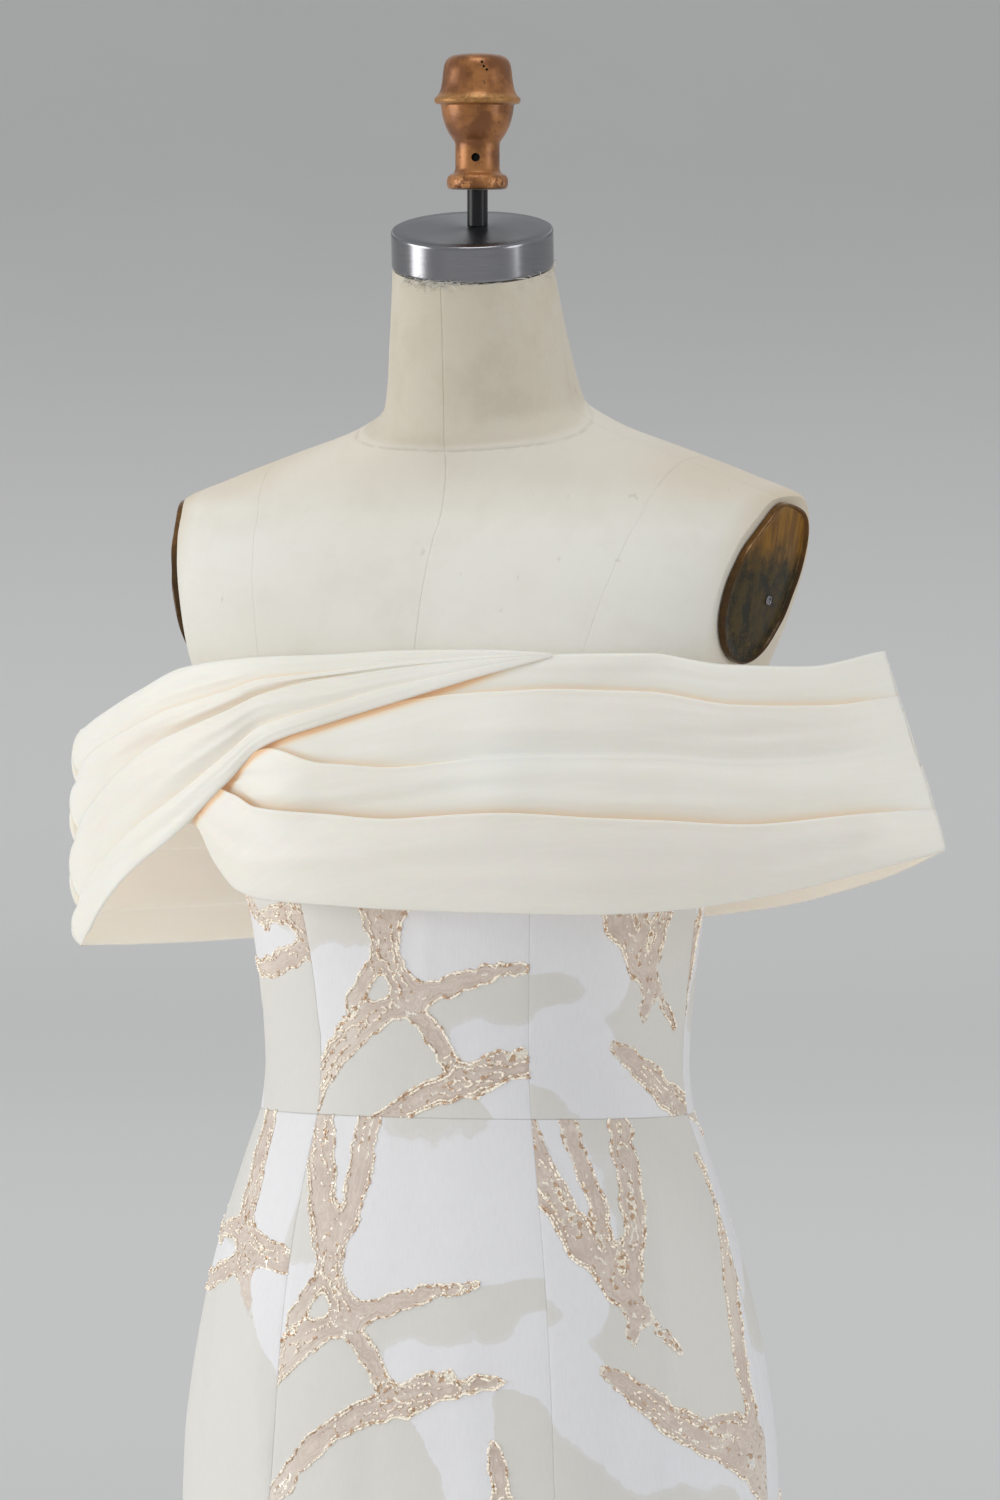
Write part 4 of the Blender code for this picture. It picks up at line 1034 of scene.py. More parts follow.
def steel_finish():
    """Turned and brushed steel, duller on its level top, which is painted dark as shade."""
    m = Recipe("brushed_steel_cap", (0.56, 0.56, 0.58), 0.24, 1.0, Anisotropic=0.65)
    x, y, _ = m.parts(m.place)
    angle = m.math("ARCTAN2", y, x)
    top = m.step(0.80, 0.95, m.facing_up())
    rings = m.noise(m.scaled(m.place, 0.02, 0.02, 1.0), 2600.0, 3.0, 0.6)
    rays = m.add("ShaderNodeTexNoise", noise_dimensions="1D")
    m.feed(rays.inputs["W"], angle)
    rays.inputs["Scale"].default_value = 48.0
    rays.inputs["Detail"].default_value = 4.0
    side = m.mix(m.step(0.3, 0.7, rings), (0.24, 0.24, 0.255), (0.28, 0.28, 0.295))
    # Painted shade: the level top is painted far darker than the side, standing in for the dark it reflects.
    crown = m.mix(m.step(0.35, 0.65, rays.outputs[0]), (0.090, 0.095, 0.110), (0.150, 0.160, 0.180))
    m.bump((rings, 0.000004))
    return m.use(Base_Color=m.mix(top, side, crown), Roughness=m.line(top, 0.16, 0.16))


def black_finish():
    m = Recipe("gloss_black_rod", (0.012, 0.012, 0.014), 0.28, Specular_ior_level=0.25)
    scratches = m.noise(m.scaled(m.place, 1.0, 1.0, 0.05), 900.0, 3.0)
    dust = m.noise(m.place, 160.0, 4.0)
    colour = m.tint((0.012, 0.012, 0.014), (0.05, 0.05, 0.052), m.step(0.55, 0.8, dust), 0.5)
    m.bump((scratches, 0.00003))
    return m.use(Base_Color=colour, Roughness=m.line(scratches, 0.25, 0.15))


def copper_finish():
    """Worn brown lacquer over a turned metal knob, chipped at its foot."""
    looks = settings()
    m = Recipe("worn_copper_lacquer", looks.copper_colour, 0.36, 0.45, Coat_weight=0.12, Coat_roughness=0.15)
    x, y, z = m.parts(m.place)
    steps = ((0.012, 0.004), (0.0505, 0.0520), (0.0580, 0.0555))
    low, above, below = (m.step(FINIAL_FOOT + start, FINIAL_FOOT + end, z) for start, end in steps)
    rim = m.product(above, below)
    cloud = m.noise(m.place, 55.0, 4.0, 0.6)
    streak = m.noise(m.scaled(m.place, 1.0, 1.0, 0.15), 260.0, 3.0)
    pits = m.step(0.70, 0.74, m.noise(m.place, 300.0, 2.0))
    chips = m.step(0.50, 0.58, m.noise(m.place, 190.0, 4.0, 0.65))
    chips = m.product(chips, m.most(low, m.product(rim, 0.5)))
    colour = m.mix(m.step(0.40, 0.62, cloud), looks.copper_dark_colour, looks.copper_colour)
    colour = m.tint(colour, (0.42, 0.18, 0.062), m.step(0.5, 0.8, streak), 0.30)
    colour = m.tint(colour, (0.36, 0.20, 0.05), rim, 0.5)
    colour = m.mix(chips, colour, (0.55, 0.25, 0.09))
    colour = m.tint(colour, (0.05, 0.025, 0.015), pits, 0.6)
    # Painted shade: inside the pin hole and the pits the lacquer is painted near black.
    from_axis = m.math("SQRT", m.total(m.product(x, x), m.product(y, y)))
    rise = m.less(z, FINIAL_FOOT)
    in_hole = m.product(m.step(0.0129, 0.0120, from_axis), m.step(0.075, 0.070, rise))
    skin = m.line(rise, -0.27, 0.0392)
    in_pit = m.product(m.step(0.0003, 0.0009, m.less(skin, from_axis)), m.near(rise, 0.0735, 0.0048))
    colour = m.mix(m.most(in_hole, m.step(0.0, 0.2, in_pit)), colour, (0.004, 0.003, 0.002))
    m.bump((cloud, 0.00025), (pits, -0.0002), (chips, -0.00025))
    return m.use(Base_Color=colour, Roughness=m.line(cloud, 0.30, 0.22))


def bronze_finish():
    """Old lacquered metal: golden brown at the top, mottled olive lower down, copper at its edge."""
    m = Recipe("patinated_plate", (0.16, 0.11, 0.04), 0.30, 0.30, Specular_ior_level=0.25)
    _, _, z = m.parts(m.place)
    ragged = m.line(m.noise(m.scaled(m.place, 1.0, 1.0, 0.6), 55.0, 4.0, 0.6), 0.060, -0.030)
    low = m.step(1.382, 1.362, m.total(z, ragged))
    streak = m.noise(m.scaled(m.place, 1.0, 1.0, 0.10), 210.0, 3.0)
    mottle = m.noise(m.place, 95.0, 5.0, 0.65)
    gold = m.mix(m.step(0.35, 0.7, streak), (0.160, 0.070, 0.007), (0.300, 0.145, 0.013))
    olive = m.mix(m.step(0.38, 0.62, mottle), (0.016, 0.013, 0.004), (0.062, 0.040, 0.006))
    rim = m.attribute("rim")
    chipped = m.product(m.step(1.405, 1.425, z), m.step(0.46, 0.60, m.noise(m.place, 240.0, 3.0)))
    colour = m.mix(low, gold, olive)
    colour = m.tint(colour, (0.085, 0.040, 0.016), m.step(0.3, 0.8, rim), 0.60)
    colour = m.tint(colour, (0.66, 0.30, 0.12), chipped, m.step(0.2, 0.7, rim))
    m.bump((mottle, low, 0.00035), (streak, 0.00012))
    roughness = m.product(m.line(mottle, 0.30, 0.14), m.line(rim, -0.5, 1.0))
    return m.use(Base_Color=colour, Roughness=roughness)


def iron_finish():
    m = Recipe("black_iron_foot", (0.03, 0.03, 0.03), 0.55, Coat_weight=0.2)
    grain = m.noise(m.place, 260.0, 4.0, 0.6)
    colour = m.mix(m.step(0.35, 0.7, grain), (0.018, 0.018, 0.019), (0.045, 0.044, 0.043))
    m.bump((grain, 0.00015))
    return m.use(Base_Color=colour, Roughness=m.line(grain, 0.30, 0.35))


def zip_metal_finish():
    m = Recipe("ivory_enamelled_zip", (0.78, 0.75, 0.68), 0.32, 0.25, Coat_weight=0.3)
    grain = m.noise(m.place, 700.0, 3.0)
    worn = m.step(0.62, 0.72, m.noise(m.place, 330.0, 3.0))
    colour = m.tint((0.78, 0.75, 0.68), (0.50, 0.47, 0.42), worn, 0.4)
    m.bump((grain, 0.00004))
    return m.use(Base_Color=colour)


def tape_finish():
    m = Recipe("ivory_zip_tape", (0.80, 0.77, 0.69), 0.75)
    x, _, z = m.parts(m.place)
    rib = m.wave(m.total(z, m.math("ABSOLUTE", x)), 0.0009)
    edge = m.step(0.0075, 0.0085, m.math("ABSOLUTE", x))
    colour = m.tint((0.80, 0.77, 0.69), (0.66, 0.63, 0.55), rib, 0.25)
    colour = m.tint(colour, (0.62, 0.59, 0.52), edge, 0.25)
    m.bump((rib, 0.00008))
    return m.use(Base_Color=colour)


def thread_finish(name, first, second, metallic, roughness, glow):
    """Thread in two colours, which change from stitch to stitch, glowing by the given strength as a painted
    glint.
    """
    m = Recipe(name, first, roughness, metallic, Emission_strength=glow)
    _, chance = m.cells(m.place, 420.0)
    twist = m.wave(m.total(*m.parts(m.place)), 0.0006)
    colour = m.mix(m.step(0.18, 0.22, chance), second, first)
    m.bump((twist, 0.00003))
    return m.use(Base_Color=colour, Emission_Color=colour)


def backdrop_finish():
    looks = settings()
    m = Recipe("studio_grey", looks.backdrop_low, 0.9)
    _, _, z = m.parts(m.place)
    mottle = m.noise(m.place, 1.2, 3.0)
    # Painted shade: the backdrop is painted darker towards the top, where the studio light falls off.
    grade = m.step(looks.fade_low, looks.fade_high, z)
    colour = m.mix(grade, looks.backdrop_low, looks.backdrop_high)
    colour = m.tint(colour, (0.9, 0.9, 0.9), m.step(0.45, 0.7, mottle), 0.03)
    m.bump((m.noise(m.place, 90.0, 2.0), 0.0002))
    return m.use(Base_Color=colour)


# Cloth of the bodice and the skirt


def periodic_noise(shape, size, seed):
    """Smooth noise that repeats with the cloth. Its blotches are about this size."""
    chance = np.random.default_rng(seed)
    rows, columns = (np.fft.fftfreq(count, REPEAT_STEP) for count in shape)
    speed = np.hypot(rows[:, None], columns[None, :]) * size
    kept = np.exp(-((speed - 0.6) ** 2) / 0.12)
    found = np.fft.ifft2(np.fft.fft2(chance.standard_normal(shape)) * kept).real
    return found / found.std()


def jacquard_repeat():
    """The repeat of the cloth: distance to a band's edge, tone of the ground, and crossing of bands."""
    across = np.arange(0.0, REPEAT_WIDTH, REPEAT_STEP)
    up = np.arange(0.0, REPEAT_HEIGHT, REPEAT_STEP)
    x, y = np.meshgrid(across, up)
    nearest = np.full(x.shape, 0.2)
    second = np.full(x.shape, 0.2)
    tone = np.zeros(x.shape)
    share = np.linspace(0.0, 1.0, 45)
    for strand in STRANDS:
        sway = 9.0 * np.sin(7.0 * share + 40.0 * strand.x)
        heading = np.radians(strand.heading + strand.curl * (share - 0.5) + sway)
        step = strand.length / (len(share) - 1)
        middle_x = strand.x + step * np.cumsum(np.cos(heading))
        middle_y = strand.y + step * np.cumsum(np.sin(heading))
        half = strand.half_width * (0.25 + 0.75 * np.sin(math.pi * share**0.8)) * ease_in(0, 0.1, 1 - share)
        dx = (x[..., None] - middle_x + 0.5 * REPEAT_WIDTH) % REPEAT_WIDTH - 0.5 * REPEAT_WIDTH
        dy = (y[..., None] - middle_y + 0.5 * REPEAT_HEIGHT) % REPEAT_HEIGHT - 0.5 * REPEAT_HEIGHT
        distance = np.hypot(dx, dy) - half
        best = distance.argmin(axis=-1)[..., None]
        d, dx, dy = (np.take_along_axis(values, best, axis=-1)[..., 0] for values in (distance, dx, dy))
        lie = heading[best[..., 0]]
        side = np.cos(lie) * dy - np.sin(lie) * dx
        tone += strand.tone * side / (np.abs(side) + 0.006) * np.exp(-np.maximum(d, 0.0) / 0.035)
        second = np.minimum(second, np.maximum(nearest, d))
        nearest = np.minimum(nearest, d)
    for depth, size, seed in ((0.0008, 0.015, 5), (0.0005, 0.0075, 6)):
        nearest = nearest + depth * periodic_noise(x.shape, size, seed)
    blend = np.maximum(0.006 - (second - nearest), 0.0) / 0.006
    return nearest - 0.002 * blend**2, tone, np.exp(-((np.maximum(second, 0.0) / 0.006) ** 2))


def sample(values, u, v):
    """Reads a repeat at any places on the cloth."""
    rows, columns = values.shape
    x, y = (u % REPEAT_WIDTH) / REPEAT_STEP, (v % REPEAT_HEIGHT) / REPEAT_STEP
    left, low = np.floor(x).astype(int), np.floor(y).astype(int)
    fx, fy = x - left, y - low
    at = [[values[(low + j) % rows, (left + i) % columns] for i in (0, 1)] for j in (0, 1)]
    return (at[0][0] * (1 - fx) + at[0][1] * fx) * (1 - fy) + (at[1][0] * (1 - fx) + at[1][1] * fx) * fy


def panel_relief(angle, height):
    """How far the soft creases stand out of the bodice or the skirt."""
    relief = np.zeros(np.broadcast(angle, height).shape)
    depth = settings().crease_depth
    for crease in PANEL_CREASES:
        radius = float(dress_radius(math.radians(crease.degrees), crease.height))
        sideways = (angle - math.radians(crease.degrees)) * radius
        upwards = height - crease.height
        lean = math.radians(crease.lean)
        lengthwise = upwards * math.cos(lean) + sideways * math.sin(lean)
        crosswise = sideways * math.cos(lean) - upwards * math.sin(lean)
        bend = crosswise + 0.15 * crease.half_width * np.sin(lengthwise / crease.half_length * 3.0)
        fade = np.exp(-((lengthwise / crease.half_length) ** 2))
        relief += depth * crease.depth * np.exp(-((bend / crease.half_width) ** 2)) * fade
    return np.maximum(relief, -0.0012 - 0.02 * np.clip(0.9 - height, 0.0, 0.2))


def edge_spacing(width, step_count):
    """Places from 0 to a width in metres, closer together at both ends."""
    width = np.asarray(width, dtype=float)[..., None]
    start = np.broadcast_to(EDGE_PLACES, (*width.shape[:-1], len(EDGE_PLACES)))
    middle = EDGE_MARGIN + (width - 2 * EDGE_MARGIN) * np.linspace(0.0, 1.0, step_count + 1)
    return np.concatenate((start, middle, width - start[..., ::-1]), axis=-1)


def panel_grid(panel, low, high, top, step):
    """The angles, heights and distances to the nearest seam of a panel's points."""
    nominal = low + edge_spacing(high - low, int((high - low) / step))
    start, end = (np.broadcast_to(seam(nominal), nominal.shape) for seam in (panel.start, panel.end))
    middle_radius = dress_radius(0.5 * (start + end), nominal)
    width = (end - start) * middle_radius
    columns = int(COLUMN_RADIUS / PANEL_STEP * float(np.mean(end - start)) / 1.4)
    places = edge_spacing(width, columns)
    angle = start[:, None] + (end - start)[:, None] * places / width[:, None]
    from_seam = np.minimum(places, width[:, None] - places)
    height = low + (nominal[:, None] - low) * (top(angle) - low) / (high - low)
    inset = 0.15 * SEAM_GAP / dress_radius(angle, height)
    angle = np.clip(angle, start[:, None] + inset, end[:, None] - inset)
    return angle, height, from_seam


def make_panel(node, panel, grid, offset, finish, repeats, held):
    """One panel's cloth. Gives back its outer grid and the grid's places on the cloth, for the threads."""
    angle, height, from_seam = grid
    from_waist = np.abs(height - WAIST)
    at_seam, at_waist = np.exp(-((from_seam / 0.0015) ** 2)), np.exp(-((from_waist / 0.0017) ** 2))
    dip = SEAM_DIP * np.maximum(at_seam, 0.5 * at_waist)
    radius = dress_radius(angle, height) + panel_relief(angle, height)
    outer = polar(angle, radius - dip, height)
    inner = polar(angle, radius - WALL, height)
    run = run_lengths(outer, 1)
    u = run - run[:, run.shape[1] // 2][:, None] + panel.across + offset[0]
    v = np.broadcast_to(height, u.shape) + panel.up + offset[1]
    band, tone, knot = (sample(values, u, v) for values in repeats)
    values = {"band": band, "tone": tone, "knot": knot, "cloth": np.stack((u, v, 0 * u), axis=-1)}
    obj = cloth(f"{node}_cloth", outer, inner, finish, values, {"band": 0.03}, roundness=0.0)
    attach(obj, DRESS)
    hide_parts(node)
    return outer, u, v


def halved(values):
    """A grid with twice as many steps each way."""
    for axis in (0, 1):
        values = np.moveaxis(values, axis, 0)
        between = 0.5 * (values[1:] + values[:-1])
        finer = np.empty((2 * len(values) - 1, *values.shape[1:]))
        finer[::2], finer[1::2] = values, between
        values = np.moveaxis(finer, 0, axis)
    return values


def contour_places(outer, band, u, v, level):
    """Where a line of equal distance from the bands' edges crosses the grid, and which way it runs there."""
    across, up = np.zeros_like(outer), np.zeros_like(outer)
    across[:, 1:-1] = outer[:, 2:] - outer[:, :-2]
    up[1:-1] = outer[2:] - outer[:-2]
    wide, tall = (np.maximum(np.linalg.norm(way, axis=-1), 1e-9) for way in (across, up))
    slope_u, slope_v = np.zeros_like(band), np.zeros_like(band)
    slope_u[:, 1:-1] = (band[:, 2:] - band[:, :-2]) / wide[:, 1:-1]
    slope_v[1:-1] = (band[2:] - band[:-2]) / tall[1:-1]
    across, up = unit(across), unit(up)
    lengthwise = unit(up * slope_u[..., None] - across * slope_v[..., None])
    fields = (outer, unit(np.cross(across, up)), lengthwise, u, v)
    inner, first, second = slice(1, -1), slice(1, -2), slice(2, -1)
    found = []
    for near, far in (((first, inner), (second, inner)), ((inner, first), (inner, second))):
        a, b = band[near] - level, band[far] - level
        crossing = (a * b < 0) & (np.linalg.norm(outer[far] - outer[near], axis=-1) > 0.0009)
        share = (a / np.where(crossing, a - b, 1))[crossing]
        kept = []
        for field in fields:
            part = share if field.ndim == 2 else share[:, None]
            kept.append(field[near][crossing] * (1 - part) + field[far][crossing] * part)
        found.append(kept)
    return [np.concatenate(parts) for parts in zip(*found)]


def make_metal_threads(grids, distances):
    """Short floats of metallic thread that lie in rows along the edges of the jacquard's bands."""
    looks = settings()
    chance = np.random.default_rng(looks.thread_seed)
    places, alongs, ups = [], [], []
    for outer, u, v in grids:
        outer, u, v = (halved(values) for values in (outer, u, v))
        band = sample(distances, u, v)
        for level, least, share in THREAD_ROWS:
            at, n, lie, on_u, on_v = contour_places(outer, band, u, v, level)
            run = np.sin(41 * on_u + 2 * np.sin(29 * on_v))
            run = run + np.sin(47 * on_v + 1.7 * np.sin(31 * on_u + level * 900))
            density = np.where(at[:, 2] > DENSE_ABOVE, 1.0, 0.35) * share * looks.thread_share
            kept = (run > least) & (chance.random(len(run)) < density)
            at, n, lie = at[kept], unit(n[kept]), unit(lie[kept])
            swing = chance.normal(0.0, 0.28, (len(at), 1))
            frayed = chance.random((len(at), 1)) < FRAYED_SHARE
            swing = np.where(frayed, chance.normal(0.0, 1.2, swing.shape), swing)
            lift = np.where(frayed, np.abs(chance.normal(0.0, 0.30, swing.shape)), 0.0)
            lie = unit(lie * np.cos(swing) + np.cross(n, lie) * np.sin(swing) + n * lift)
            places.append(at)
            alongs.append(lie)
            ups.append(unit(n - lie * np.sum(n * lie, axis=-1, keepdims=True)))
    x, z = np.concatenate(alongs), np.concatenate(ups)
    colours = (looks.thread_colour, looks.copper_thread_colour)
    # The metallic threads' emission of 0.16 is a painted glint, so they shine brighter than the cloth.
    finish = thread_finish("metallic_thread", *colours, 0.20, 0.30, 0.16)
    piece = spindle_piece("one_float", *FLOAT_SIZE, finish)
    obj = repeat("metal_threads", piece, np.concatenate(places), (x, np.cross(z, x), z), finish, 0.35, 3)
    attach(obj, DRESS)


# Cloth of the drape


def drape_points(across, height, face, offset, end_bulge):
    """Points of the drape: face is 1 in front and -1 behind, and the offset is measured outwards."""
    right, left, front, back = (along(LOOP, way, height) for way in ("right", "left", "front", "back"))
    reach = np.where(across > 0, left, right)
    deepest = front if face > 0 else back
    x = across * reach
    depth = face * (0.5 * SEAM_GAP + deepest * (1 - np.abs(across) ** LOOP_POWER))
    angle, radius = np.arctan2(x, depth), np.hypot(x, depth)
    needed = dress_radius(angle, height) + SEAM_GAP
    rested = 0.5 * (radius + needed + np.hypot(radius - needed, REST_ROUNDING))
    x, depth = x * rested / radius, depth * rested / radius
    turn = 0.5 * math.pi * np.abs(across) ** TURN_POWER
    x = x + np.copysign(np.sin(turn) * offset + end_bulge, across)
    depth = depth + face * np.cos(turn) * offset
    return np.stack((x, -depth, height), axis=-1)


def fold_rows(rows, across):
    """The drape's rows of points: share of the way down, how far the cloth stands out, painted warm shade of
    the fold, and layer.

    A tuck's folded edge points up. The cloth above it runs down behind the fold, turns over it and then
    falls back towards the next tuck.
    """
    top, bottom = (along(rows, column, across) for column in ("top", "bottom"))
    span = top - bottom
    lip = np.minimum(LIP / span, 0.055)
    tucks = [[along(rows, column, across) for column in pair] for pair in TUCK_COLUMNS]
    fullness = settings().drape_fullness
    found = []
    start, rise = np.zeros_like(across), np.zeros_like(across)
    for place, next_rise in [*tucks, (None, None)]:
        last = place is None
        end = np.ones_like(across) if last else place - lip
        tall = (end - start) * span
        for share in np.linspace(0.0, 1.0, LAYER_ROWS):
            layer = math.sin(math.pi * share)
            puff = fullness * np.minimum(0.06 * tall, LAYER_PUFF) * layer**0.8
            stand = rise * (1 - share) ** 1.15 + puff
            # shade is how much painted warm shade and glow the row gets.
            shade = 0.0 if last else 0.35 * max(share - 0.82, 0) / 0.18 * np.minimum(next_rise / FULL_TUCK, 1)
            found.append((start + (end - start) * share, stand, shade, layer))
        if last:
            break
        roll = np.minimum(np.minimum(0.36 * next_rise, 0.0028) / span, 0.05)
        for q in np.linspace(0.0, 1.0, TUCK_ROWS + 2)[1:-1]:
            under = math.exp(-(((q - 0.27) / 0.15) ** 2))
            over = math.exp(-(((q - 0.64) / 0.16) ** 2))
            share = place + lip * (2 * q - 1) + roll * (under - 1.25 * over)
            stand = next_rise * (ease_in(0.20, 0.70, q) + 0.10 * over)
            shade = math.exp(-(((q - 0.30) / 0.20) ** 2)) * np.minimum(next_rise / FULL_TUCK, 1)
            found.append((share, stand, shade, 0.0))
        start, rise = place + lip, next_rise
    columns = (np.stack([np.broadcast_to(row[k], across.shape) for row in found]) for k in range(4))
    return top, bottom, *columns


def make_drape_piece(node, rows, creases, first, last, face, finish, phase, rests_on, lift=None):
    """One piece of the drape, with its tucks rolled over and its soft creases."""
    count = int(DRAPE_REACH * abs(last - first) * (1.25 if face > 0 else 1.2) / DRAPE_STEP)
    across = first + (last - first) * np.linspace(0.0, 1.0, count)
    top, bottom, share, stand, fold, layer = fold_rows(rows, across)
    a = np.broadcast_to(across, share.shape)
    stand_off = along(rows, lift, a) if lift else 0.0 * a
    depth = settings().crease_depth
    relief = 0.00016 * np.sin(2 * math.pi * (7.3 * share + 0.35 * a + 0.9 * np.sin(2.1 * a + phase)))
    relief += 0.00010 * np.sin(2 * math.pi * (15.7 * share - 0.8 * a + 0.5 * np.sin(4.3 * a + 1.7 * phase)))
    for crease in creases:
        along_crease = (a - crease.across) / crease.half_length
        off = (share - crease.share - crease.slant * along_crease) / crease.half_width
        relief += crease.depth * np.exp(-(along_crease**2) - off**2)
    relief *= depth * layer**0.5 * (1 - np.abs(a) ** 10) * np.minimum((top - bottom) / 0.07, 1.0) ** 1.5
    tip = ease_in(0.90, 1.0, np.abs(a))
    scallop = tip * (0.0042 if first < 0 or last < 0 else 0.0015) * (layer**0.6 - 0.35)
    scallop = np.where(a < 0, scallop, 0.0)
    stand = stand * np.where(a > 0, 1 - 0.8 * ease_in(0.86, 1.0, a), 1.0)
    wall = WALL * (1 - 0.6 * ease_in(last - 0.05, last, a)) if lift else WALL
    # Painted shadow: a warm line on the band just under the wrap's lower edge.
    if face > 0 and not lift:
        under_wrap = (along(WRAP, "bottom", a) - 0.001 - (top - (top - bottom) * share)) / 0.0045
        near_wrap = np.exp(-(under_wrap**2)) * (1 - ease_in(0.10, 0.33, a)) * ease_in(-0.60, -0.50, a)
        fold = np.maximum(fold, 0.95 * near_wrap)
    height = top - (top - bottom) * share
    low = top - (top - bottom) * np.clip(share, 0.0, 1.0)
    outer = drape_points(a, height, face, stand_off + stand + wall + np.maximum(relief, -0.0012), scallop)
    smooth_share = np.linspace(0.0, 1.0, len(share))[:, None]
    even = 0.5 * (share + np.maximum.accumulate(share, axis=0))
    inner_height = top - (top - bottom) * np.clip(0.85 * even + 0.15 * smooth_share, 0.0, 1.0)
    inner_stand = stand_off + 0.25 * np.minimum(stand, 0.004) + np.minimum(relief, 0.0) * 0.5
    inner = drape_points(a, inner_height, face, inner_stand, scallop)
    for k in (0, -1):
        inner[k] = drape_points(a[k], low[k], face, stand_off[k], scallop[k])
    u, v = run_lengths(outer, 1), run_lengths(outer, 0)
    # fold and inside carry painted warm light: in the folds, and over the whole inside face.
    values = {
        "fold": fold * (1 - 0.6 * tip),
        "inside": 0 * fold,
        "cloth": np.stack((u + 3 * phase, v, 0 * u), axis=-1),
    }
    obj = cloth(f"{node}_cloth", outer, inner, finish, values, {"fold": 0.0, "inside": 1.0}, roundness=0.95)
    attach(obj, DRESS)
    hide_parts(node)


# The form


def figure_ring(height, steps):
    """The form's section at a height, as points."""
    columns = ("centre", "lean", "turn")
    centre, lean, turn = (float(along(FIGURE, column, height)) for column in columns)
    angle = 2 * math.pi * (np.arange(steps) + 0.5) / steps - math.pi
    radius = figure_radius(angle, np.full(steps, height))
    lowered = math.tan(math.radians(lean)) * radius * np.cos(angle - math.radians(turn))
    return polar(angle, radius, height - lowered) + np.array((0.0, -centre, 0.0))


def armhole_block(side, finish):
    """A block beside the shoulder. Its inner face lies along the armhole's slanting plane."""
    (low_x, low), (high_x, high) = ARMHOLE_LOW, ARMHOLE_HIGH
    corners = ((low_x, low), (low_x + CUTTER_REACH, low), (high_x + CUTTER_REACH, high), (high_x, high))
    rings = []
    for depth in (-CUTTER_REACH, CUTTER_REACH):
        back = depth * math.tan(ARMHOLE_TURN)
        rings.append([(side * (x + back), depth, height) for x, height in corners])
    return tube("armhole_block", rings, finish)


def make_torso(finish):
    low, top = FIGURE[0].height, FIGURE[-1].height
    body, shoulders = np.arange(low, 1.30, 0.008), np.arange(1.302, top - 0.0005, 0.0032)
    heights = np.sort(np.concatenate((body, shoulders, [low + 0.003, top])))
    obj = tube("form_torso_linen", [figure_ring(height, 168) for height in heights], finish)
    for side in (-1, 1):
        cut(obj, armhole_block(side, finish))
    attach(obj, DRESS)
    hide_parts("form_torso")


def plate_outline(node, side):
    """The outline of an arm plate's outer face, smoothed, with the plane's own directions."""
    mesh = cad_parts[node].data
    points = np.array([tuple(vertex.co) for vertex in mesh.vertices])
    slant = np.subtract(ARMHOLE_HIGH, ARMHOLE_LOW)
    up = unit(np.array((side * slant[0], 0.0, slant[1])))
    depth = unit(np.array((side * math.tan(ARMHOLE_TURN), 1.0, 0.0)))
    out = unit(np.cross(depth, up)) * side
    out = out if out[0] * side > 0 else -out
    depth = unit(np.cross(up, out))
    level = points @ out
    face = points[level > level.max() - 0.0006]
    centre = 0.5 * (face.max(axis=0) + face.min(axis=0))
    a, b = (face - centre) @ depth, (face - centre) @ up
    centre = centre + depth * 0.5 * (a.max() + a.min()) + up * 0.5 * (b.max() + b.min())
    a, b = (face - centre) @ depth, (face - centre) @ up
    angle, radius = np.arctan2(b, a), np.hypot(a, b)
    order = np.argsort(angle)
    angle, radius = angle[order], radius[order]
    at = 2 * math.pi * np.arange(PLATE_STEPS) / PLATE_STEPS - math.pi
    radius = np.interp(at, angle, radius, period=2 * math.pi)
    kernel = np.array((1, 3, 6, 7, 6, 3, 1)) / 27
    for _ in range(3):
        radius = sum(weight * np.roll(radius, shift) for weight, shift in zip(kernel, range(-3, 4)))
    return centre, depth, up, out, at, radius


def make_arm_plate(name, side, finish, screw_finish):
    """A flat metal plate with a raised rim and a dished middle, and the screw that holds it."""
    centre, depth, up, out, angle, radius = plate_outline(f"form_arm_plate_{name}", side)
    centre = centre - PLATE_DEPTH * out
    levels = [
        (1.000, 0.0000, 1.0), (1.000, 0.0034, 1.0), (0.995, 0.0042, 1.0), (0.985, 0.0046, 1.0),
        (0.974, 0.0044, 1.0), (0.966, 0.0036, 0.9), (0.958, 0.0022, 0.5), (0.940, 0.0016, 0.1),
        (0.800, 0.0019, 0.0), (0.600, 0.0024, 0.0), (0.350, 0.0027, 0.0), (0.120, 0.0028, 0.0),
    ]
    outline = np.cos(angle)[:, None] * depth + np.sin(angle)[:, None] * up
    outline *= PLATE_SPREAD * radius[:, None]
    rings = [centre + share * outline + rise * out for share, rise, _ in levels]
    points = np.concatenate((*rings, [centre + PLATE_MIDDLE * out], [centre]))
    rims = np.array([*np.repeat([rim for _, _, rim in levels], PLATE_STEPS), 0.0, 1.0])
    middle, back = len(points) - 2, len(points) - 1
    index = ring_index(len(levels), PLATE_STEPS)
    faces = [*quads_of(index)]
    for k in range(PLATE_STEPS):
        faces += [(index[-1, k], index[-1, k + 1], middle), (index[0, k + 1], index[0, k], back)]
    obj = face_object(f"arm_plate_{name}", points, faces, finish, 60)
    add_attributes(obj.data, {"rim": rims})
    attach(obj, DRESS)
    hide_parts(f"form_arm_plate_{name}")

    head = [
        (0.0, -0.0010), (0.0026, -0.0010), (0.0030, 0.0004), (0.0026, 0.0011),
        (0.0016, 0.0014), (0.0012, 0.0004), (0.0006, 0.0003), (0.0, 0.0003),
    ]
    screw_at = centre - 0.0100 * up + 0.0095 * depth + PLATE_MIDDLE * out
    place = Matrix.Translation(screw_at) @ Vector(out).to_track_quat("Z", "Y").to_matrix().to_4x4()
    screw = turned(f"plate_screw_{name}", head, 32, screw_finish, place)
    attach(screw, DRESS)


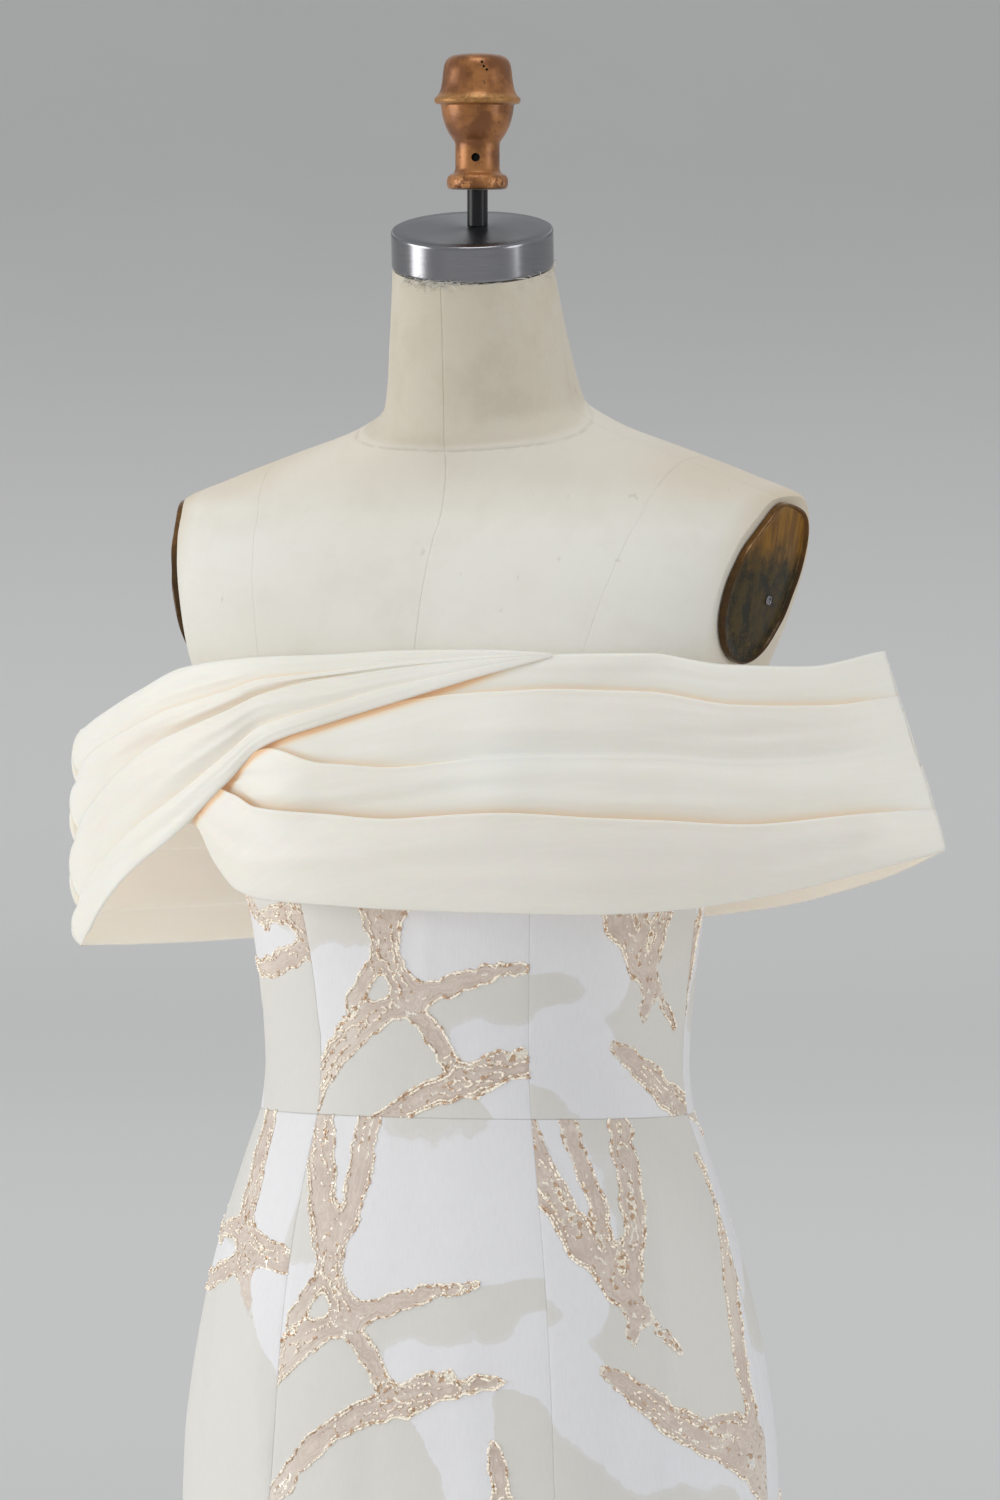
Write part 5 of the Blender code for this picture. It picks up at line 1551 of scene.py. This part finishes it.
def cap_place():
    """Where the cap's foot stands on the neck, and how it leans."""
    top = FIGURE[-1]
    tilt, turn = math.radians(top.lean), math.radians(top.turn)
    lift = Vector((math.sin(turn) * math.sin(tilt), -math.cos(turn) * math.sin(tilt), math.cos(tilt)))
    foot = Vector((0, -top.centre, top.height)) + SEAM_GAP * lift
    leaning = Matrix.Rotation(turn, 4, "Z") @ Matrix.Rotation(tilt, 4, "X")
    return Matrix.Translation(foot) @ leaning, lift, foot


def make_neck_cap(steel):
    """The steel cap, with a rounded edge above and below."""
    r, h = CAP_RADIUS, CAP_HEIGHT
    profile = [
        (0.0, 0.0), (r - 0.0012, 0.0), (r - 0.0004, 0.0003), (r, 0.0011), (r, 0.0021),
        (r, h - 0.0022), (r, h - 0.0012), (r - 0.0004, h - 0.0004), (r - 0.0012, h),
        (r - 0.010, h), (0.030, h), (0.012, h), (0.0, h),
    ]
    cap = turned("neck_cap_steel", profile, 144, steel, cap_place()[0], 50)
    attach(cap, DRESS)
    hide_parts("form_neck_cap")


def make_rod(black):
    """The upright rod between the leaning cap and the finial."""
    _, lift, foot = cap_place()
    crown = foot + CAP_HEIGHT * lift
    steps = 40
    flat = polar(2 * math.pi * np.arange(steps) / steps, ROD_RADIUS, 0.0)
    on_cap = crown.z - ((flat[:, 0] - crown.x) * lift.x + (flat[:, 1] - crown.y) * lift.y) / lift.z + SEAM_GAP
    high = np.full(steps, FINIAL_FOOT - SEAM_GAP)
    levels = (on_cap, on_cap + 0.0006, 0.5 * (on_cap + high), high - 0.0006, high)
    rings = [np.stack((flat[:, 0], flat[:, 1], level), axis=-1) for level in levels]
    rod = tube("finial_rod", rings, black)
    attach(rod, DRESS)
    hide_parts("form_rod")


def drill(obj, radii, reach, length, degrees, height, steps, finish):
    """Cuts a level hole at an azimuth, from a reach beside the axis outwards. It may widen on its way."""
    hole = [(0.0, 0.0), (radii[0], 0.0), (radii[1], length), (0.0, length)]
    turn = Matrix.Rotation(math.radians(degrees), 4, "Z") @ Matrix.Rotation(math.pi / 2, 4, "X")
    place = Matrix.Translation((0, 0, height)) @ turn @ Matrix.Translation((0, 0, reach))
    cut(obj, turned("hole", hole, steps, finish, place))


def make_finial(copper):
    """The turned finial, with its pin hole and three small pits."""
    finial = turned("turned_finial", FINIAL, 96, copper, Matrix.Translation((0, 0, FINIAL_FOOT)), 50)
    pin_hole = (PIN_HOLE_RADIUS, PIN_HOLE_RADIUS)
    drill(finial, pin_hole, 0.0030, 0.0170, PIN_HOLE_DEGREES, FINIAL_FOOT + PIN_HOLE_HEIGHT, 24, copper)
    for degrees, height, reach in FINIAL_PITS:
        drill(finial, (0.0008, 0.0009), reach, 0.012, degrees, FINIAL_FOOT + height, 12, copper)
    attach(finial, DRESS)
    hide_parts("form_finial")


def make_frayed_linen():
    """Loose threads of linen under the cap, most of them at one place."""
    chance = np.random.default_rng(11)
    count, gathered = 260, 170
    everywhere = (-math.pi, math.pi, count - gathered)
    clump = np.concatenate((chance.normal(-0.42, 0.26, gathered), chance.uniform(*everywhere)))
    top = FIGURE[-1]
    at = polar(clump, np.full(count, top.half_width + 0.0004), chance.uniform(-0.0035, 0.0008, count))
    place = cap_place()[0]
    at = np.array([tuple(place @ Vector(p)) for p in at])
    out = unit((at - np.array((0.0, -top.centre, 0.0))) * np.array((1, 1, 0)))
    x = unit(np.cross((0, 0, 1.0), out) + chance.normal(0, 0.5, (count, 3)))
    z = unit(out - x * np.sum(out * x, axis=-1, keepdims=True))
    finish = thread_finish("frayed_linen_thread", (0.80, 0.78, 0.71), (0.66, 0.62, 0.53), 0.0, 0.8, 0.0)
    piece = strand_piece("one_fibre", 0.0075, 0.00016, 0.0011, finish, 4)
    fibres = repeat("frayed_linen", piece, at, (x, np.cross(z, x), z), finish, 0.5, 7)
    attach(fibres, DRESS)


def make_zip(metal):
    """A rounded slider with its two ears, and a pull tab that hangs from them."""
    _, hinge_y, hinge_z = TAB_HINGE
    low, tall = ZIP_HIGH + SEAM_GAP, 0.0095
    back, root, front = 0.1075, 0.1150, 0.1158
    half = 0.0035
    rings = []
    for x in (-half, -0.6 * half, 0.6 * half, half):
        pinch = 0.0008 if abs(x) == half else 0.0
        bottom, top = low + pinch, low + tall - pinch
        rings.append([(x, back, bottom), (x, front, bottom), (x, front, top), (x, back, top)])
    slider = tube("zip_slider_body", rings, metal)
    bevel(slider, 0.0007)
    meshes = [slider]
    for side, name in ((-1, "right"), (1, "left")):
        near, far = sorted((side * (half - 0.0012), side * half))
        outline = [
            (root, hinge_z - 0.0018), (hinge_y + 0.0006, hinge_z - 0.0016), (hinge_y + 0.0013, hinge_z),
            (hinge_y + 0.0006, hinge_z + 0.0016), (root, hinge_z + 0.0018),
        ]
        ear = tube(f"zip_ear_{name}", [[(x, y, z) for y, z in outline] for x in (near, far)], metal)
        bevel(ear, 0.0003, 2)
        meshes.append(ear)
    for obj in meshes:
        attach(obj, DRESS)
    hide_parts("zip_slider")

    rows = (
        (0.0007, 0.0017), (0.0002, 0.0018), (-0.0030, 0.0012), (-0.0080, 0.0011), (-0.0130, 0.0013),
        (-0.0180, 0.0017), (-0.0210, 0.0018), (-0.0224, 0.0014), (-0.0230, 0.0007),
    )
    section = ((-1, -0.6), (-0.7, -1), (0.7, -1), (1, -0.6), (1, 0.6), (0.7, 1), (-0.7, 1), (-1, 0.6))
    rings = [[(x * wide, hinge_y + 0.0007 * y, hinge_z + drop) for x, y in section] for drop, wide in rows]
    tab = tube("zip_pull_tab", rings, metal, 30)
    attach(tab, TAB)
    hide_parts("zip_tab")


# Add-on


class DressLooks(PropertyGroup):
    """Sizes and colours of the dress, the form and the studio."""

    def colour(name, text, value):
        limits = {"subtype": "COLOR", "min": 0.0, "max": 1.0}
        return FloatVectorProperty(name=name, description=text, default=value, **limits)

    def number(name, text, value, **limits):
        return FloatProperty(name=name, description=text, default=value, **limits)

    ground_colour: colour("Ground", "Lighter ground of the jacquard", (0.83, 0.83, 0.85))
    ground_shade_colour: colour("Ground shade", "Cream-grey ground of the jacquard", (0.735, 0.722, 0.680))
    band_colour: colour("Band", "Rose-beige bands of the jacquard", (0.770, 0.672, 0.592))
    band_dark_colour: colour("Band shade", "Darker part of the bands", (0.605, 0.497, 0.427))
    thread_colour: colour("Metallic thread", "Cream metallic thread", (0.97, 0.90, 0.78))
    copper_thread_colour: colour("Copper thread", "Copper-brown metallic thread", (0.60, 0.41, 0.27))
    drape_colour: colour("Drape", "Ivory satin of the drape", (0.890, 0.868, 0.805))
    drape_shade_colour: colour("Drape shade", "Deeper ivory in the drape", (0.862, 0.830, 0.755))
    glow_colour: colour("Fold glow", "Warm light in the drape's folds", (0.84, 0.66, 0.46))
    deep_glow_colour: colour("Deep fold glow", "Warm light deep in the folds", (0.70, 0.42, 0.22))
    linen_colour: colour("Linen", "Cover of the form", (0.790, 0.778, 0.715))
    linen_shade_colour: colour("Linen shade", "Aged part of the cover", (0.750, 0.728, 0.650))
    copper_colour: colour("Finial", "Lacquer of the finial", (0.400, 0.165, 0.048))
    copper_dark_colour: colour("Finial shade", "Darker part of the lacquer", (0.200, 0.072, 0.020))
    cloth_glow: number("Light through the drape", "Light that comes through to its inside", 0.16, min=0.0)
    crease_depth: number("Crease depth", "Strength of the cloth's soft creases", 1.1, min=0.0, max=1.3)
    drape_fullness: number("Drape fullness", "How full the layers are between tucks", 1.0, min=0.0, max=1.5)
    thread_share: number("Metallic threads", "Share of them on the jacquard", 1.0, min=0.05, max=1.0)
    thread_seed: IntProperty(name="Thread seed", description="Order of the metallic threads", default=7)
    camera_distance: number("Camera distance", "From the camera to the dress", 7.0, unit="LENGTH")
    camera_turn: number("Camera turn", "How far round it stands", math.radians(23), unit="ROTATION")
    camera_rise: number("Camera rise", "How far it looks down", math.radians(1.6), unit="ROTATION")
    view_height: number("View height", "Height of the view at the dress", 0.900, unit="LENGTH")
    light: number("Light", "Strength of the studio lights", 1.0, min=0.0)
    backdrop_low: colour("Backdrop", "Lower part of the backdrop", (0.840, 0.838, 0.835))
    backdrop_high: colour("Backdrop, upper", "Upper part of the backdrop", (0.600, 0.599, 0.597))
    fade_low: number("Fade from", "Where the backdrop starts to darken", 0.2, unit="LENGTH")
    fade_high: number("Fade to", "Where the backdrop is darkest", 2.5, unit="LENGTH")


class DRESS_OT_panels(Operator):
    """Builds the five panels of the bodice, the five of the skirt and the threads on them"""

    bl_idname = "dress.panels"
    bl_label = "Bodice and skirt"

    def execute(self, context):
        finish = jacquard_finish()
        repeats = jacquard_repeat()
        skirt_top, bodice_low = WAIST - 0.1 * SEAM_GAP, WAIST + 0.1 * SEAM_GAP
        shared = (finish, repeats)
        grids = []
        for panel in PANEL_CUTS:
            grid = panel_grid(panel, bodice_low, BODICE_TOP_HIGHEST, bodice_top, PANEL_STEP)
            grids.append(make_panel(f"bodice_{panel.part}", panel, grid, (0.0, 0.0), *shared, "stretched"))
            grid = panel_grid(panel, HEM, skirt_top, lambda angle: skirt_top, SKIRT_STEP)
            grids.append(make_panel(f"skirt_{panel.part}", panel, grid, SKIRT_SHIFT, *shared, "hung"))
        make_metal_threads(grids, repeats[0])
        return {"FINISHED"}


class DRESS_OT_drape(Operator):
    """Builds the wrap, the front band and the two back bands of the drape"""

    bl_idname = "dress.drape"
    bl_label = "Drape"

    def execute(self, context):
        finish = satin_finish()
        closing = 0.5 * SEAM_GAP / LOOP[0].right
        front = ["bodice_front_cloth"]
        back = ["bodice_back_right_cloth", "bodice_back_left_cloth"]
        wrap, band, behind = (WRAP, WRAP_CREASES), (BAND, BAND_CREASES), (BACK, BACK_CREASES)
        make_drape_piece("drape_wrap", *wrap, -1.0, WRAP[-1].across, 1, finish, 0.3, front, "lift")
        make_drape_piece("drape_band", *band, BAND[0].across, 1.0, 1, finish, 1.1, front)
        make_drape_piece("drape_back_right", *behind, -1.0, -closing, -1, finish, 2.0, back[:1])
        make_drape_piece("drape_back_left", *behind, closing, 1.0, -1, finish, 2.9, back[1:])
        return {"FINISHED"}


class DRESS_OT_form(Operator):
    """Builds the linen torso, the arm plates, the neck cap, the rod and the finial"""

    bl_idname = "dress.form"
    bl_label = "Dress form"

    def execute(self, context):
        steel = steel_finish()
        make_torso(linen_finish())
        bronze = bronze_finish()
        for name, side in (("right", -1), ("left", 1)):
            make_arm_plate(name, side, bronze, steel)
        make_neck_cap(steel)
        make_rod(black_finish())
        make_finial(copper_finish())
        make_frayed_linen()
        return {"FINISHED"}


class DRESS_OT_stand(Operator):
    """Gives the stand under the skirt its finishes"""

    bl_idname = "dress.stand"
    bl_label = "Stand"

    def execute(self, context):
        finishes = {"stand_pole": steel_finish(), "stand_foot": iron_finish(), "zip_tape": tape_finish()}
        for node, finish in finishes.items():
            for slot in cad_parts[node].material_slots:
                slot.material = finish
        return {"FINISHED"}


class DRESS_OT_zip(Operator):
    """Builds the zip's slider and pull tab at the centre back"""

    bl_idname = "dress.zip"
    bl_label = "Zip"

    def execute(self, context):
        make_zip(zip_metal_finish())
        return {"FINISHED"}


class DRESS_OT_studio(Operator):
    """Builds the floor and backdrop, the lights and the camera"""

    bl_idname = "dress.studio"
    bl_label = "Studio"

    def execute(self, context):
        looks = settings()
        finish = backdrop_finish()
        profile = [(-STAGE_REACH, 0.0), (0.0, 0.0), (WALL_Y - WALL_BEND, 0.0)]
        for a in 0.5 * math.pi * np.arange(1, 49) / 48:
            profile.append((WALL_Y - WALL_BEND * (1 - math.sin(a)), WALL_BEND * (1 - math.cos(a))))
        profile.append((WALL_Y, WALL_HEIGHT))
        turn = Matrix.Rotation(looks.camera_turn, 3, "Z")
        points = []
        for x in (-STAGE_REACH, STAGE_REACH):
            points += [turn @ Vector((x, y, z - 0.0005)) for y, z in profile]
        count = len(profile)
        faces = [(k, k + count, k + count + 1, k + 1) for k in range(count - 1)]
        mesh = bpy.data.meshes.new("studio_sweep")
        mesh.from_pydata([tuple(p) for p in points], [], faces)
        mesh.shade_smooth()
        mesh.materials.append(finish)
        link(bpy.data.objects.new("studio_sweep", mesh))

        def area_light(name, place, aim, size, power, colour):
            data = bpy.data.lights.new(name, "AREA")
            data.shape = "RECTANGLE"
            data.size, data.size_y = size
            data.energy = power * looks.light
            data.color = colour
            lamp = link(bpy.data.objects.new(name, data))
            lamp.visible_camera = False
            lamp.location = turn @ Vector(place)
            towards = turn @ Vector(aim) - lamp.location
            lamp.rotation_euler = towards.to_track_quat("-Z", "Y").to_euler()

        warm, cool, white = (1.0, 0.99, 0.97), (0.98, 0.99, 1.0), (1.0, 1.0, 1.0)
        area_light("left_softbox", (-2.97, -0.42, 1.45), (0, 0, 1.30), (1.8, 1.7), 39, warm)
        area_light("right_softbox", (2.62, -1.45, 1.45), (0, 0, 1.30), (1.1, 1.7), 14, cool)
        area_light("overhead_light", (0.1, -0.9, 4.4), (0, 0, 1.2), (1.5, 1.5), 27, white)
        area_light("backdrop_light", (-4.0, 27.0, 9.0), (-1.0, 37.0, 1.0), (16.0, 6.0), 150, white)
        area_light("floor_light", (-1.0, 13.0, 7.0), (-1.0, 13.0, 0.0), (14.0, 10.0), 110, white)
        world = bpy.data.worlds.new("studio_air")
        world.use_nodes = True
        background = world.node_tree.nodes["Background"]
        background.inputs["Color"].default_value = (0.98, 0.99, 1.0, 1.0)
        background.inputs["Strength"].default_value = 0.55
        bpy.context.scene.world = world

        rise = looks.camera_rise
        away = turn @ Vector((0, -math.cos(rise), math.sin(rise)))
        target = turn @ Vector((VIEW_MIDDLE[0], 0, VIEW_MIDDLE[1]))
        data = bpy.data.cameras.new("photo_camera")
        data.sensor_fit = "VERTICAL"
        data.sensor_height = SENSOR_HEIGHT
        data.lens = SENSOR_HEIGHT * looks.camera_distance / looks.view_height
        data.clip_end = 120.0
        camera = link(bpy.data.objects.new("photo_camera", data))
        camera.location = target + looks.camera_distance * away
        camera.rotation_euler = (-away).to_track_quat("-Z", "Y").to_euler()
        bpy.context.scene.camera = camera
        bpy.context.scene.view_settings.view_transform = "Standard"
        return {"FINISHED"}


class DRESS_PT_looks(Panel):
    """Lists the pieces and what may be changed"""

    bl_idname = "DRESS_PT_looks"
    bl_label = "Dress"
    bl_space_type = "VIEW_3D"
    bl_region_type = "UI"
    bl_category = "Dress"

    def draw(self, context):
        for operator in OPERATORS:
            self.layout.operator(operator.bl_idname)
        for name in DressLooks.__annotations__:
            self.layout.prop(settings(), name)


OPERATORS = (DRESS_OT_panels, DRESS_OT_drape, DRESS_OT_form, DRESS_OT_stand, DRESS_OT_zip, DRESS_OT_studio)
CLASSES = (DressLooks, *OPERATORS, DRESS_PT_looks)


def register():
    for kind in CLASSES:
        bpy.utils.register_class(kind)
    bpy.types.Scene.dress_looks = PointerProperty(type=DressLooks)


def unregister():
    del bpy.types.Scene.dress_looks
    for kind in reversed(CLASSES):
        bpy.utils.unregister_class(kind)


def main():
    register()
    bpy.ops.dress.panels()
    bpy.ops.dress.drape()
    bpy.ops.dress.form()
    bpy.ops.dress.stand()
    bpy.ops.dress.zip()
    bpy.ops.dress.studio()


if __name__ == "__main__":
    main()
